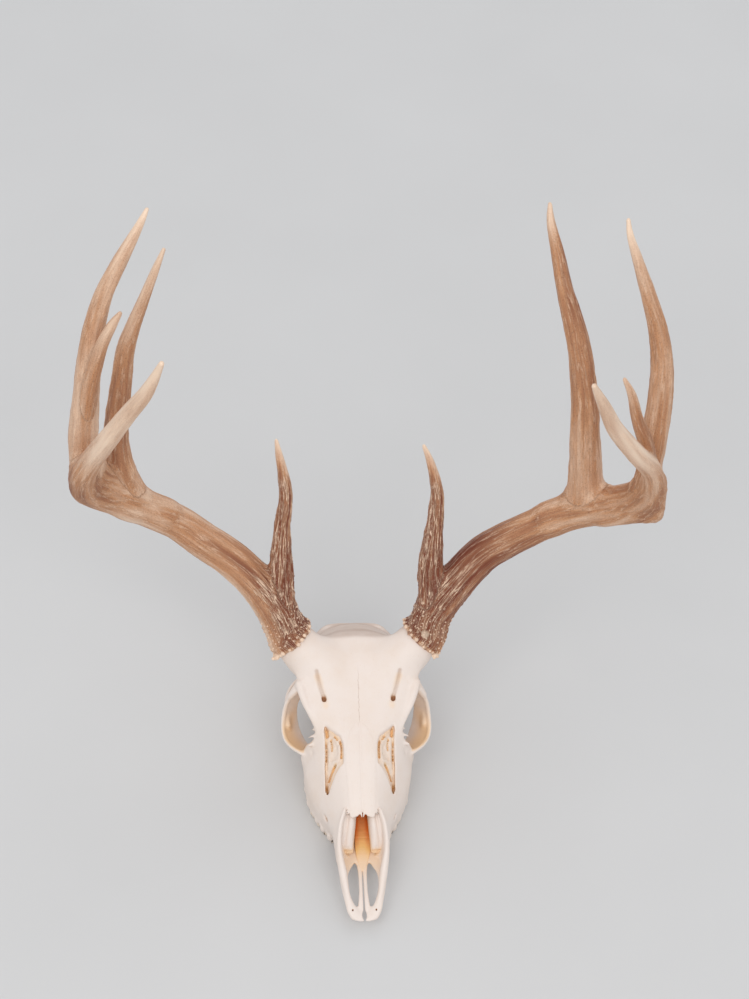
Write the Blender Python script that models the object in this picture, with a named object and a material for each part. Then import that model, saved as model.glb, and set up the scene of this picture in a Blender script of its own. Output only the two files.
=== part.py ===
"""White-tailed deer skull with both antlers, cleaned, without its lower jaw.

It rests as it would on a shelf: on the flat wear facets of the upper cheek teeth and on the tips of
the two processes behind the ear region. +Z is up, the nose points towards -Y, and the animal's own
left side is at +X. Every number below is in millimetres, measured in the skull's own axes: x out from
the midline, y back from the tip of the nose, z up from the surface that the teeth stand on.
"""

import math

import bmesh
import bpy
from mathutils import Vector

# Driving dimensions, in millimetres
MM = 0.001
ORIGIN_BEHIND_NOSE = 160.8
PIECE_GAP = 0.4
MITRE_LIMIT = 3.0
WELD_DISTANCE = 0.03
BURR_CENTRE = (54, 219, 115)
BURR_AXIS = (0.68, 0.34, 0.65)
NASAL_THICKNESS = 3.0
NASAL_LIFT = 0.3
NASAL_COLUMNS = 4
ORBIT_CENTRE = (48, 165, 71)
ORBIT_RADII = (23, 20.5, 18.5)
BRAIN_CENTRE = (0, 226, 71)
BRAIN_RADII = (31, 32, 25)
FORAMEN_PASSAGE = [(0, 248, 56, 12.5), (0, 268, 51, 12.5), (0, 296, 44, 13.5)]
PROCESS_TIP_Y = 268.0
GROUND_SIZE = 400.0

# How finely the pieces are made
CRANIUM_TRIANGLES = 2700
PREMAXILLA_TRIANGLES = 230
HALF_POINTS = 64
SECTION_STEP = 3.5
ROD_SIDES = 14
LUMP_SIDES = 20
HOLLOW_SIDES = 28
BODY_VOXEL = 1.6
CRANIUM_VOXEL = 1.3
PREMAXILLA_VOXEL = 0.9
CRANIUM_SMOOTHING = 4
PREMAXILLA_SMOOTHING = 2
SHARP_ANGLE = 38.0

# Half outlines of the skull across y, each from the midline of the roof out and down to the midline
# of the palate or of the skull's base: roof, edge over the orbit, side, alveolar ridge, palate
SKULL_SECTIONS = {
    49: [(0, 41), (7, 42), (13, 41), (17, 39), (20, 36), (22, 32), (22.3, 27), (21, 21.5),
         (18, 17.5), (12, 16), (6, 16), (0, 16)],
    62: [(0, 52), (7, 52), (12, 51), (16, 48), (20, 43), (23, 37), (23.5, 31), (22, 24),
         (18.5, 18.5), (12, 17), (6, 18), (0, 18)],
    78: [(0, 60), (6.5, 60), (12, 58), (16, 54), (20.5, 47.5), (24, 40), (25.5, 33), (24.5, 25),
         (21, 18), (15, 17.5), (8, 19), (0, 19.5)],
    92: [(0, 66.5), (7, 66.5), (13, 64), (18, 59), (23.5, 51.5), (28.5, 42), (31, 33), (30.5, 23),
         (27.5, 12.5), (17, 12.5), (11, 20), (0, 22)],
    108: [(0, 73), (8, 73), (14.5, 70.5), (21, 65), (27.5, 57), (33.5, 46.5), (38, 36), (39, 25),
          (36, 12), (23, 12), (14, 21.5), (0, 23.5)],
    125: [(0, 79.5), (9, 80), (17, 77.5), (25, 71.5), (33, 62), (39.5, 50), (44, 39), (44.5, 26),
          (42, 12), (26, 12), (16, 22.5), (0, 25)],
    140: [(0, 84.5), (12, 85), (22, 82.5), (31, 76.5), (38, 66), (43, 54), (47, 42), (46, 28),
          (43.5, 12), (27, 12), (17, 23), (0, 26)],
    150: [(0, 87.5), (14, 88.5), (26, 86.5), (36, 80.5), (41, 70), (44, 58), (47.5, 46), (45, 31),
          (43, 12.5), (27, 12.5), (17.5, 23.5), (0, 27)],
    160: [(0, 91), (17, 92), (31, 90.5), (42, 85), (33, 78), (24, 68), (27, 50), (42, 37),
          (41, 13), (26, 13), (17, 24), (0, 27.5)],
    170: [(0, 95.5), (20, 96.5), (36, 95), (48, 89), (38, 82), (21, 72), (19, 52), (28, 37),
          (34, 20), (25, 18), (16.5, 26), (0, 30)],
    180: [(0, 101), (22, 102), (39, 100), (51, 94), (40, 86.5), (20, 76), (16, 58), (15, 46),
          (14, 40), (11, 38), (7, 38), (0, 39)],
    190: [(0, 107), (22, 107.5), (40, 106), (51.5, 100), (42, 90), (25, 79), (20, 62), (17, 49),
          (13, 42), (9, 41), (5, 41), (0, 41)],
    203: [(0, 113), (20, 113.5), (38, 113), (49, 107), (43, 95), (36, 80), (33, 64), (25, 50),
          (17, 43), (11, 41), (6, 40), (0, 40)],
    216: [(0, 115), (18, 114.5), (34, 116.5), (46, 113), (43, 98), (41, 83), (39, 67), (31, 51),
          (20, 43), (13, 40), (7, 39), (0, 39)],
    228: [(0, 113), (16, 112), (28, 107.5), (36, 100), (40, 90), (41.5, 79), (40.5, 65), (34, 51),
          (23, 42), (14, 39), (7, 38.5), (0, 38.5)],
    242: [(0, 103), (13, 101.5), (24, 97), (33, 89.5), (39, 80.5), (41, 70), (40, 59), (33, 47),
          (23, 39.5), (14, 37.5), (7, 37.5), (0, 37.5)],
    255: [(0, 92.5), (12, 91), (22, 87), (31, 80.5), (37.5, 72.5), (39.5, 63), (38, 53), (31, 43),
          (22, 37), (14, 35.5), (7, 35.5), (0, 35.5)],
    264: [(0, 83.5), (11, 82.5), (20, 79), (28, 74), (34, 67), (36, 58.5), (34, 50), (28, 41),
          (20, 35.5), (13, 34), (7, 33.5), (0, 33.5)],
    272: [(0, 70), (9, 70), (16, 68), (22, 64), (26, 59), (27.5, 53), (26, 46), (22, 39),
          (16, 34), (11, 33), (6, 32.5), (0, 32.5)],
}

# The passage of the nose: y, half width, floor and roof. Ahead of the nasal bones it is open above
NASAL_PASSAGE = [
    (40, 16.5, 20.5, 90), (62, 17.5, 22, 90), (74, 17.5, 22.5, 90), (77, 17.5, 22.5, 56.5),
    (92, 17, 25, 62), (110, 16, 28, 68), (130, 14, 32, 74), (146, 9, 38, 72),
]
PASSAGE_ROUNDNESS = 0.6

# Rods and bars of the skull: centre points with a radius across and a radius up at each
ORBIT_RIM_BELOW = [(41, 138, 45, 4, 6), (49, 147, 49, 4, 6), (57, 153, 52, 3.4, 6),
                   (61.5, 162, 54, 2.8, 5.5), (61.5, 175, 55, 2.8, 6), (60, 184, 58, 3, 6)]
ORBIT_FLOOR = [(41, 142, 40, 6, 6), (49, 153, 43, 5, 5), (55, 163, 46, 4, 4), (56, 175, 48, 4, 3.6),
               (57, 186, 53, 3, 4)]
BAR_BEHIND_ORBIT = [(45, 179, 94, 6, 4), (54, 182, 89, 4, 4), (59.5, 184, 79, 3.2, 3.6),
                    (61, 182, 67, 3, 3.8), (60.5, 178, 57, 3, 4)]
BAR_REAR_EDGE = [(47, 186, 97, 6, 4), (55, 188, 89, 4, 4), (59.5, 189.5, 79, 3, 3.8),
                 (60.5, 187.5, 67, 2.8, 4), (59.5, 184, 58, 3, 4)]
CREST = [(46, 213, 112, 8, 7.5), (32, 217, 108.5, 6.5, 6), (18, 218.5, 107.5, 6.5, 6),
         (8, 219.5, 108.5, 6.5, 6), (0, 219.5, 109.5, 6.5, 6)]
ZYGOMATIC_ARCH = [(59, 178, 53, 3.2, 6), (59, 190, 57, 3, 5.5), (57.5, 203, 61, 2.8, 5.5),
                  (51, 214, 62, 3, 5), (41, 222, 60, 6, 5), (33, 228, 58, 7, 6)]
PTERYGOID_PLATE = [(17, 166, 27, 3, 6), (13.5, 176, 30, 2.4, 9), (12, 190, 33, 2.2, 9),
                   (12, 203, 39, 2.4, 6)]
PROCESS_BEHIND_EAR = [(27, 258, 44, 7, 6), (28, 263, 28, 4.5, 5), (27, 267, 12, 3.5, 4),
                      (26, PROCESS_TIP_Y, -4, 2.6, 3.0)]
PEDICLE = [(28, 203, 94, 21, 21), (43, 212, 105, 19, 19), (54.3, 218.8, 115.3, 17, 17)]
SCROLL_BONE = [(13.5, 59, 34, 5, 7), (12.5, 76, 40, 5.5, 10), (12, 98, 46, 5.5, 12),
               (10, 124, 52, 6, 14), (7, 142, 56, 6, 12)]
VOMER = [(0, 58, 19, 1.6, 4), (0, 80, 24, 1.6, 6), (0, 120, 36, 1.8, 12), (0, 146, 50, 2.5, 16)]
NUCHAL_CREST = [(0, 264, 79.5, 5, 4), (13, 263.5, 79.5, 5, 4), (24, 261, 78.5, 4.5, 3.8),
                (30, 257, 75, 4.5, 3.8), (36, 252, 67, 4, 4)]

# Lumps of the skull: centre and radii
EAR_BULB = ((24, 240, 35), (9, 11, 9))
EAR_TUBE = ((37, 246, 56), (7, 6, 6))
CONDYLE = ((13, 275, 39), (9, 8.5, 13))
TOOTH_RIDGE_END = ((30, 162, 24), (9, 8, 11))

# Openings beside the nasal bones, two to a side: centre, radii and turn about the up axis in degrees
FACE_OPENINGS = [((23, 134, 76), (7.5, 17, 14), 14), ((26, 107, 62), (4, 11, 12), -6)]
BROW_FORAMEN = ((29.2, 168.6, 97), (2.4, 3.2, 6))
BROW_GROOVE = [(29.2, 168.8, 97.6, 2.2), (31.2, 173.5, 100.6, 1.8), (33, 178.5, 103.4, 1.8),
               (34.6, 183.5, 105.9, 1.6), (35.8, 188.5, 108.1, 1)]
CHEEK_FORAMEN = ((28.5, 90, 33), (6, 3.2, 2.6))
THROAT = ((0, 178, 34), (9, 24, 7))

# Each premaxilla: the bar that climbs to the nasal bone, its flat front and the inner rod
PREMAXILLA_BAR = [(7.2, 6.5, 11.5, 5.4, 3.6), (10.4, 11, 13.5, 4.6, 3.8), (12.8, 16.5, 16.2, 3.6, 4),
                  (14.8, 24, 20, 3.2, 4.4), (17, 37, 26.8, 3.6, 4.8), (19.8, 54, 37.5, 2.9, 5.2),
                  (18.4, 68, 48.2, 2.6, 5), (14.5, 80, 56, 2.2, 4)]
PREMAXILLA_FRONT = ((7.2, 8.6, 11.5), (6.9, 8.8, 3.8))
PREMAXILLA_ROD = [(3.1, 9, 11.5, 2.6, 2.6), (2.8, 24, 14, 2.1, 2.2), (2.9, 40, 16.4, 2.1, 2.0),
                  (4.6, 56, 18.8, 3, 1.8)]

# One nasal bone: y, inner and outer edge
NASAL_OUTLINE = [(76, 1.5, 5.5), (80, 0.3, 9), (85, 0.3, 12.2), (100, 0.3, 13), (116, 0.3, 13.4),
                 (130, 0.3, 12), (142, 0.3, 8), (150, 0.3, 3)]

# Upper cheek teeth, front to back: name, centre x, centre y, width, length, turn in degrees, lobes
CHEEK_TEETH = [
    ("premolar_2", 22.2, 94.5, 9.0, 9.6, 30, 1), ("premolar_3", 27.0, 103.6, 11.0, 10.0, 28, 1),
    ("premolar_4", 31.2, 113.0, 12.5, 9.8, 22, 1), ("molar_1", 34.3, 125.2, 14.5, 13.6, 10, 2),
    ("molar_2", 35.6, 140.2, 15.5, 15.0, 0, 2), ("molar_3", 34.6, 155.6, 14.5, 14.6, -8, 2),
]
TOOTH_LEVELS = [(0.0, 0.74), (3.0, 0.96), (8.5, 1.0), (15.0, 0.84)]
CORNERS_PER_LOBE = 6
LOBE_PINCH = 0.16
TOOTH_ENDS = 0.7
WEAR_RIM = 2.0
WEAR_STEP = 0.7
WEAR_DEPTH = 1.2

# Antlers. Each branch: name, then centre points with the radius there. The animal's left is first
LEFT_ANTLER = [
    ("beam", [(66.5, 230.5, 139, 18.4), (84.5, 240.5, 164.5, 17), (105, 250, 187, 16.4),
              (124, 252, 203, 15.8), (144, 251, 219, 15.2), (168, 249, 236, 14.8),
              (190, 241, 253, 14.8), (213, 226, 274, 14), (226, 209, 297, 12.5),
              (228, 197, 325, 10.6), (219, 184, 357, 8.9), (201, 167, 391, 8),
              (178, 150, 433, 7), (162, 134, 473, 5.2), (149, 121, 507, 1.8)]),
    ("brow_tine", [(64, 232, 148, 15), (62, 245, 176, 11), (63, 254, 202, 8.8), (64, 261, 220, 7.4),
                   (65, 269, 239, 6.1), (63, 275, 253, 5), (58, 283, 269, 3.5),
                   (52, 289, 282, 1.4)]),
    ("second_tine", [(187, 244, 256, 16), (183, 248, 289, 14), (178.5, 252, 328, 12.4),
                     (175, 258, 363, 11), (169.5, 267, 396, 10), (162, 276, 425, 8.8),
                     (153, 287, 452, 7), (145, 300, 481, 5.3), (139, 312, 502, 3.6),
                     (138, 320, 514, 1.4)]),
    ("third_tine", [(225, 207, 311, 12.5), (226, 213, 355, 10.8), (226.5, 222, 396, 9.9),
                    (224, 228, 432, 8.9), (217, 232, 462, 7.5), (207, 236, 491, 6.1),
                    (197, 241, 517, 4.6), (188, 248, 540, 3), (185, 253, 553, 1.4)]),
    ("fourth_point", [(222, 191, 350, 7.5), (213, 190, 381, 6.6), (203, 189, 406, 5.2),
                      (195, 188, 433, 3.6), (186.5, 188, 451, 1.4)]),
]
RIGHT_ANTLER = [
    ("beam", [(-69, 230.5, 139, 18.4), (-84.5, 241, 162, 17), (-106, 251, 182, 16.4),
              (-133, 257, 203, 15.8), (-154, 260, 221, 15.2), (-180, 254, 244, 14.8),
              (-207, 239, 271, 14.8), (-223.5, 220, 301, 13.4), (-226, 203, 334, 11.4),
              (-217, 191.5, 364, 9.4), (-203, 173, 404, 8.2), (-187, 157, 445, 7.1),
              (-172, 141, 483, 5.7), (-160, 128, 524, 1.8)]),
    ("brow_tine", [(-67, 233, 149, 15), (-66, 249, 183, 10), (-65, 260, 212, 7.4),
                   (-63, 267, 231, 6.3), (-63, 273, 248, 5.7), (-67.5, 283.5, 271, 3.8),
                   (-71, 291, 287, 1.4)]),
    ("second_tine", [(-192, 249, 253, 16), (-198, 254, 284, 12.8), (-201.5, 258, 320, 10.6),
                     (-197, 263, 364, 9.2), (-192, 273, 401, 7.6), (-185, 278, 425, 6.2),
                     (-176, 283, 449, 4.6), (-167, 290, 472, 3.3), (-160, 295, 489, 1.4)]),
    ("third_tine", [(-223.5, 217, 310, 13), (-225, 220, 352, 12), (-221.5, 224, 396, 10.7),
                    (-216, 230, 446, 9), (-209, 234, 479, 7.7), (-202, 237, 500, 6.7),
                    (-188, 244, 528, 5.3), (-177, 252, 547, 3.4), (-171, 258, 558, 1.4)]),
    ("fourth_point", [(-223, 220, 368, 8.5), (-218, 217, 410, 6.8), (-208.5, 217, 454, 5.5),
                      (-199, 215, 480, 4.1), (-191.5, 214, 495, 1.4)]),
]
BURR_RINGS = [(0.5, 17.4), (3.0, 20.8), (6.0, 20.2), (10.0, 17.8)]
BURR_LENGTH = 8.0
BURR_KNOBS = 0.05
BEAM_SIDES = 12
TINE_SIDES = 10
RING_STEP = 20.0
FLUTE_DEPTH = 0.045

# Finishes: base colour, roughness
FINISHES = {
    "bone": ((0.82, 0.74, 0.62), 0.6),
    "enamel": ((0.80, 0.72, 0.56), 0.35),
    "antler": ((0.32, 0.20, 0.11), 0.55),
}


def place(x, y, z):
    """A point of the skull's own axes as a world position in metres."""
    return Vector((x, y - ORIGIN_BEHIND_NOSE, z)) * MM


def clear_scene():
    for old in list(bpy.data.objects):
        bpy.data.objects.remove(old)


def finish(slot):
    """The shared material of this name, made at its first use."""
    material = bpy.data.materials.get(slot)
    if material is None:
        colour, roughness = FINISHES[slot]
        material = bpy.data.materials.new(slot)
        material.use_nodes = True
        shader = material.node_tree.nodes["Principled BSDF"]
        shader.inputs["Base Color"].default_value = (*colour, 1)
        shader.inputs["Roughness"].default_value = roughness
        shader.inputs["Metallic"].default_value = 0
    return material


def object_from(name, bm):
    """A new object from a bmesh, with its faces turned outwards."""
    bmesh.ops.recalc_face_normals(bm, faces=bm.faces)
    if bm.calc_volume(signed=True) < 0:
        bmesh.ops.reverse_faces(bm, faces=bm.faces)
    mesh = bpy.data.meshes.new(name)
    bm.to_mesh(mesh)
    bm.free()
    made = bpy.data.objects.new(name, mesh)
    bpy.context.scene.collection.objects.link(made)
    return made


def smooth_path(points, step):
    """Points about step apart on the smooth curve through the given ones, of any number of values."""
    ends = [points[0]] + list(points) + [points[-1]]
    found = [tuple(points[0])]
    for a, b, c, d in zip(ends, ends[1:], ends[2:], ends[3:]):
        parts = max(1, round(math.dist(b[:3], c[:3]) / step))
        for part in range(1, parts + 1):
            t = part / parts
            found.append(tuple(
                0.5 * (2 * q + (r - p) * t + (2 * p - 5 * q + 4 * r - s) * t * t
                       + (3 * q - p - 3 * r + s) * t * t * t)
                for p, q, r, s in zip(a, b, c, d)
            ))
    return found


def close_rings(bm, rings):
    """Skins the rings of vertices one after another and caps both ends."""
    for near, far in zip(rings, rings[1:]):
        for i in range(len(near)):
            j = (i + 1) % len(near)
            bm.faces.new((near[i], near[j], far[j], far[i]))
    bm.faces.new(rings[0][::-1])
    bm.faces.new(rings[-1])


def add_tube(bm, points, sides, step, wave=None):
    """A closed tube along the smooth curve through points of x, y, z and one or two radii.

    The first radius runs level across the tube and the second one stands over it. wave gives a
    factor on the radius from the angle round the tube and the length along it.
    """
    path = smooth_path(points, step)
    centres = [Vector(point[:3]) for point in path]
    rings = []
    length = 0.0
    across = None
    for i, centre in enumerate(centres):
        along = (centres[min(i + 1, len(centres) - 1)] - centres[max(i - 1, 0)]).normalized()
        if i:
            length += (centre - centres[i - 1]).length
        if across is None:
            across = along.cross(Vector((0, 0, 1)))
            if across.length < 0.2:
                across = Vector((1, 0, 0))
        across = (across - along * across.dot(along)).normalized()
        over = across.cross(along)
        radii = path[i][3:]
        ring = []
        for side in range(sides):
            angle = 2 * math.pi * side / sides
            factor = wave(angle, length) if wave else 1.0
            offset = across * radii[0] * math.cos(angle) + over * radii[-1] * math.sin(angle)
            ring.append(bm.verts.new(place(*(centre + offset * factor))))
        rings.append(ring)
    close_rings(bm, rings)


def add_lump(bm, centre, radii, sides=LUMP_SIDES, turn=0.0, mirrored=False):
    """A closed ellipsoid, turned about the up axis by an angle in degrees."""
    sign = -1 if mirrored else 1
    made = bmesh.ops.create_uvsphere(bm, u_segments=sides, v_segments=sides // 2, radius=1)
    angle = math.radians(turn) * sign
    for vertex in made["verts"]:
        x, y, z = (vertex.co[i] * radii[i] for i in range(3))
        vertex.co = place(
            centre[0] * sign + x * math.cos(angle) - y * math.sin(angle),
            centre[1] + x * math.sin(angle) + y * math.cos(angle),
            centre[2] + z,
        )


def mirrored_points(points):
    return [(-point[0], *point[1:]) for point in points]


def both_sides(points):
    return (points, mirrored_points(points))


def half_outline(y):
    """The half outline at y, smoothly between the sections on either side."""
    stations = sorted(SKULL_SECTIONS)
    after = max(1, min(len(stations) - 1, next((i for i, s in enumerate(stations) if s >= y), 99)))
    picks = [stations[max(0, min(len(stations) - 1, after + k))] for k in (-2, -1, 0, 1)]
    t = max(0.0, min(1.0, (y - picks[1]) / (picks[2] - picks[1])))
    outlines = [SKULL_SECTIONS[pick] for pick in picks]
    found = []
    for a, b, c, d in zip(*outlines):
        found.append(tuple(
            0.5 * (2 * q + (r - p) * t + (2 * p - 5 * q + 4 * r - s) * t * t
                   + (3 * q - p - 3 * r + s) * t * t * t)
            for p, q, r, s in zip(a, b, c, d)
        ))
    return found


def add_skull_body(bm):
    """The skull's main form, lofted through its sections."""
    rings = []
    first, last = min(SKULL_SECTIONS), max(SKULL_SECTIONS)
    count = round((last - first) / SECTION_STEP)
    for i in range(count + 1):
        y = first + (last - first) * i / count
        half = resampled(smooth_path([(x, 0, z) for x, z in half_outline(y)], 4.0), HALF_POINTS)
        loop = [(x, z) for x, _, z in half] + [(-x, z) for x, _, z in half[-2:0:-1]]
        rings.append([bm.verts.new(place(x, y, z)) for x, z in loop])
    close_rings(bm, rings)


def resampled(line, count):
    """The same line with count points spaced evenly along it."""
    lengths = [0.0]
    for a, b in zip(line, line[1:]):
        lengths.append(lengths[-1] + math.dist(a, b))
    found = []
    k = 0
    for i in range(count):
        target = lengths[-1] * i / (count - 1)
        while k < len(line) - 2 and lengths[k + 1] < target:
            k += 1
        t = (target - lengths[k]) / max(lengths[k + 1] - lengths[k], 1e-9)
        t = max(0.0, min(1.0, t))
        found.append(tuple(a + (b - a) * t for a, b in zip(line[k], line[k + 1])))
    return found


def settle(made):
    """Replaces the object's mesh with what its modifiers make of it, and removes them."""
    graph = bpy.context.evaluated_depsgraph_get()
    mesh = bpy.data.meshes.new_from_object(made.evaluated_get(graph))
    made.modifiers.clear()
    old = made.data
    made.data = mesh
    bpy.data.meshes.remove(old)


def remesh(made, voxel):
    fused = made.modifiers.new("Fuse", "REMESH")
    fused.mode = "VOXEL"
    fused.voxel_size = voxel * MM
    settle(made)


def smooth(made, rounds):
    eased = made.modifiers.new("Ease", "SMOOTH")
    eased.factor = 0.5
    eased.iterations = rounds
    settle(made)


def decimate(made, triangles):
    """Brings the mesh down to about this many triangles."""
    now = sum(len(face.vertices) - 2 for face in made.data.polygons)
    fewer = made.modifiers.new("Facet", "DECIMATE")
    fewer.ratio = min(1.0, triangles / now)
    settle(made)


def hide(helper):
    helper.hide_render = True
    helper.display_type = "WIRE"


def cut(made, cutter):
    """Takes the cutter's shape out of the object."""
    hide(cutter)
    taken = made.modifiers.new("Cut " + cutter.name, "BOOLEAN")
    taken.operation = "DIFFERENCE"
    taken.solver = "EXACT"
    taken.object = cutter
    settle(made)


def grown_copy(made):
    """A cutter that is the object, larger by the gap between pieces on every face."""
    bm = bmesh.new()
    bm.from_mesh(made.data)
    bm.normal_update()
    moves = [(v, v.normal * PIECE_GAP * MM * min(v.calc_shell_factor(), MITRE_LIMIT)) for v in bm.verts]
    for vertex, move in moves:
        vertex.co += move
    mesh = bpy.data.meshes.new(made.name + "_room")
    bm.to_mesh(mesh)
    bm.free()
    cutter = bpy.data.objects.new(made.name + "_room", mesh)
    bpy.context.scene.collection.objects.link(cutter)
    hide(cutter)
    return cutter


def weld(made):
    """Makes points that nearly touch one point, and drops the slivers between them."""
    bm = bmesh.new()
    bm.from_mesh(made.data)
    bmesh.ops.remove_doubles(bm, verts=bm.verts, dist=WELD_DISTANCE * MM)
    bmesh.ops.dissolve_degenerate(bm, dist=WELD_DISTANCE * MM, edges=bm.edges)
    bm.to_mesh(made.data)
    bm.free()


def dress(made, slot):
    made.data.materials.clear()
    made.data.materials.append(finish(slot))
    made.data.shade_smooth()
    made.data.set_sharp_from_angle(angle=math.radians(SHARP_ANGLE))


def rounded(value, power):
    """The value raised to the power, with its sign kept."""
    return math.copysign(abs(value) ** power, value)


def skull_openings():
    """One cutter for every hollow of the skull."""
    bm = bmesh.new()
    passage = []
    for y, half_width, floor, roof in NASAL_PASSAGE:
        ring = []
        middle, reach = (roof + floor) / 2, (roof - floor) / 2
        for side in range(LUMP_SIDES):
            angle = 2 * math.pi * side / LUMP_SIDES
            level = rounded(math.sin(angle), PASSAGE_ROUNDNESS)
            width = rounded(math.cos(angle), PASSAGE_ROUNDNESS)
            ring.append(bm.verts.new(place(half_width * width, y, middle + reach * level)))
        passage.append(ring)
    close_rings(bm, passage)
    cutters = [object_from("nasal_passage", bm)]
    bm = bmesh.new()
    add_lump(bm, BRAIN_CENTRE, BRAIN_RADII, sides=HOLLOW_SIDES)
    cutters.append(object_from("brain_hollow", bm))
    bm = bmesh.new()
    add_tube(bm, FORAMEN_PASSAGE, LUMP_SIDES, 10)
    cutters.append(object_from("foramen_magnum", bm))
    bm = bmesh.new()
    add_lump(bm, *THROAT)
    cutters.append(object_from("throat", bm))
    for mirrored in (False, True):
        side = "right" if mirrored else "left"
        bm = bmesh.new()
        add_lump(bm, ORBIT_CENTRE, ORBIT_RADII, sides=HOLLOW_SIDES, mirrored=mirrored)
        cutters.append(object_from("orbit_" + side, bm))
        for number, (centre, radii, turn) in enumerate(FACE_OPENINGS):
            bm = bmesh.new()
            add_lump(bm, centre, radii, turn=turn, mirrored=mirrored)
            cutters.append(object_from(f"face_opening_{number}_{side}", bm))
        for name, lump in (("brow_foramen", BROW_FORAMEN), ("cheek_foramen", CHEEK_FORAMEN)):
            bm = bmesh.new()
            add_lump(bm, *lump, sides=12, mirrored=mirrored)
            cutters.append(object_from(f"{name}_{side}", bm))
        bm = bmesh.new()
        add_tube(bm, mirrored_points(BROW_GROOVE) if mirrored else BROW_GROOVE, 10, 3)
        cutters.append(object_from("brow_groove_" + side, bm))
    return cutters


def make_cranium():
    """Frontals, braincase, upper jaw, palate, arches and pedicles, grown together as one bone."""
    bm = bmesh.new()
    add_skull_body(bm)
    for points in both_sides(PEDICLE):
        add_tube(bm, points, LUMP_SIDES, 6)
    for lump in (EAR_BULB, EAR_TUBE, CONDYLE, TOOTH_RIDGE_END):
        for mirrored in (False, True):
            add_lump(bm, *lump, mirrored=mirrored)
    for points in both_sides(PROCESS_BEHIND_EAR) + both_sides(NUCHAL_CREST) + both_sides(CREST):
        add_tube(bm, points, ROD_SIDES, 5)
    cranium = object_from("cranium", bm)
    remesh(cranium, BODY_VOXEL)
    for cutter in skull_openings():
        cut(cranium, cutter)
    bm = bmesh.new()
    for points in (ORBIT_RIM_BELOW, ORBIT_FLOOR, BAR_BEHIND_ORBIT, BAR_REAR_EDGE, ZYGOMATIC_ARCH,
                   PTERYGOID_PLATE, SCROLL_BONE):
        for side_points in both_sides(points):
            add_tube(bm, side_points, ROD_SIDES, 4)
    add_tube(bm, VOMER, ROD_SIDES, 5)
    bm.from_mesh(cranium.data)
    old = cranium.data
    cranium.data = bpy.data.meshes.new("cranium")
    bm.to_mesh(cranium.data)
    bm.free()
    bpy.data.meshes.remove(old)
    remesh(cranium, CRANIUM_VOXEL)
    smooth(cranium, CRANIUM_SMOOTHING)
    decimate(cranium, CRANIUM_TRIANGLES)
    return cranium


def roof_height(x, y):
    """Height of the skull's roof at a distance x from the midline."""
    outline = half_outline(y)
    line = smooth_path([(a, 0, b) for a, b in outline[:5]], 1.0)
    for (xa, _, za), (xb, _, zb) in zip(line, line[1:]):
        if xa <= x <= xb:
            return za + (zb - za) * (x - xa) / max(xb - xa, 1e-6)
    return line[-1][2]


def make_nasal_plate(name, spans, columns):
    """A curved plate that roofs the nose, from spans of y and the edges in x."""
    bm = bmesh.new()
    rings = []
    for y, start, end in spans:
        places = [start + (end - start) * i / (columns - 1) for i in range(columns)]
        top = [(x, roof_height(abs(x), y) + NASAL_LIFT) for x in places]
        low = [(x, z - NASAL_THICKNESS) for x, z in reversed(top)]
        rings.append([bm.verts.new(place(x, y, z)) for x, z in top + low])
    close_rings(bm, rings)
    return object_from(name, bm)


def make_nasals():
    """The two nasal bones."""
    left = make_nasal_plate("nasal_left", NASAL_OUTLINE, NASAL_COLUMNS)
    mirrored = [(y, -inner, -outer) for y, inner, outer in NASAL_OUTLINE]
    return [left, make_nasal_plate("nasal_right", mirrored, NASAL_COLUMNS)]


def make_nasal_room():
    """The cutter that gives both nasal bones one seat in the cranium."""
    spans = [(y, -outer, outer) for y, _, outer in NASAL_OUTLINE]
    plate = make_nasal_plate("nasal_seat", spans, 2 * NASAL_COLUMNS - 1)
    hide(plate)
    return grown_copy(plate)


def make_premaxilla(mirrored):
    """One premaxilla: flat front, outer bar up to the nasal bone and thin inner rod."""
    bm = bmesh.new()
    bar, rod = PREMAXILLA_BAR, PREMAXILLA_ROD
    if mirrored:
        bar, rod = mirrored_points(bar), mirrored_points(rod)
    add_tube(bm, bar, ROD_SIDES, 5)
    add_tube(bm, rod, ROD_SIDES, 5)
    add_lump(bm, *PREMAXILLA_FRONT, mirrored=mirrored)
    bone = object_from("premaxilla_right" if mirrored else "premaxilla_left", bm)
    remesh(bone, PREMAXILLA_VOXEL)
    smooth(bone, PREMAXILLA_SMOOTHING)
    decimate(bone, PREMAXILLA_TRIANGLES)
    return bone


def make_tooth(name, x, y, width, length, turn, lobes, mirrored):
    """One cheek tooth: a crown worn flat, with a hollow inside the worn rim, and a root in its socket."""
    sign = -1 if mirrored else 1
    corners = CORNERS_PER_LOBE * lobes
    angle = math.radians(turn) * sign
    bm = bmesh.new()
    rings = []
    for height, swell in TOOTH_LEVELS:
        ring = []
        for corner in range(corners):
            around = 2 * math.pi * (corner + 0.5) / corners
            across, along = math.cos(around), math.sin(around)
            pinch = 1 - LOBE_PINCH * (lobes - 1) * (1 - abs(along)) ** 2
            a = across * width / 2 * swell * pinch * sign
            b = rounded(along, TOOTH_ENDS) * length / 2 * (0.87 + 0.1 * swell)
            ring.append(bm.verts.new(place(
                sign * x + a * math.cos(angle) + b * math.sin(angle),
                y - a * math.sin(angle) + b * math.cos(angle),
                height,
            )))
        rings.append(ring)
    close_rings(bm, rings)
    bmesh.ops.recalc_face_normals(bm, faces=bm.faces)
    worn = [face for face in bm.faces if all(abs(v.co.z) < 1e-6 for v in face.verts)]
    bmesh.ops.inset_region(bm, faces=worn, thickness=WEAR_RIM * MM)
    bmesh.ops.inset_region(bm, faces=worn, thickness=WEAR_STEP * MM)
    for vertex in worn[0].verts:
        vertex.co.z += WEAR_DEPTH * MM
    return object_from(f"{name}_{'right' if mirrored else 'left'}", bm)


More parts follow.
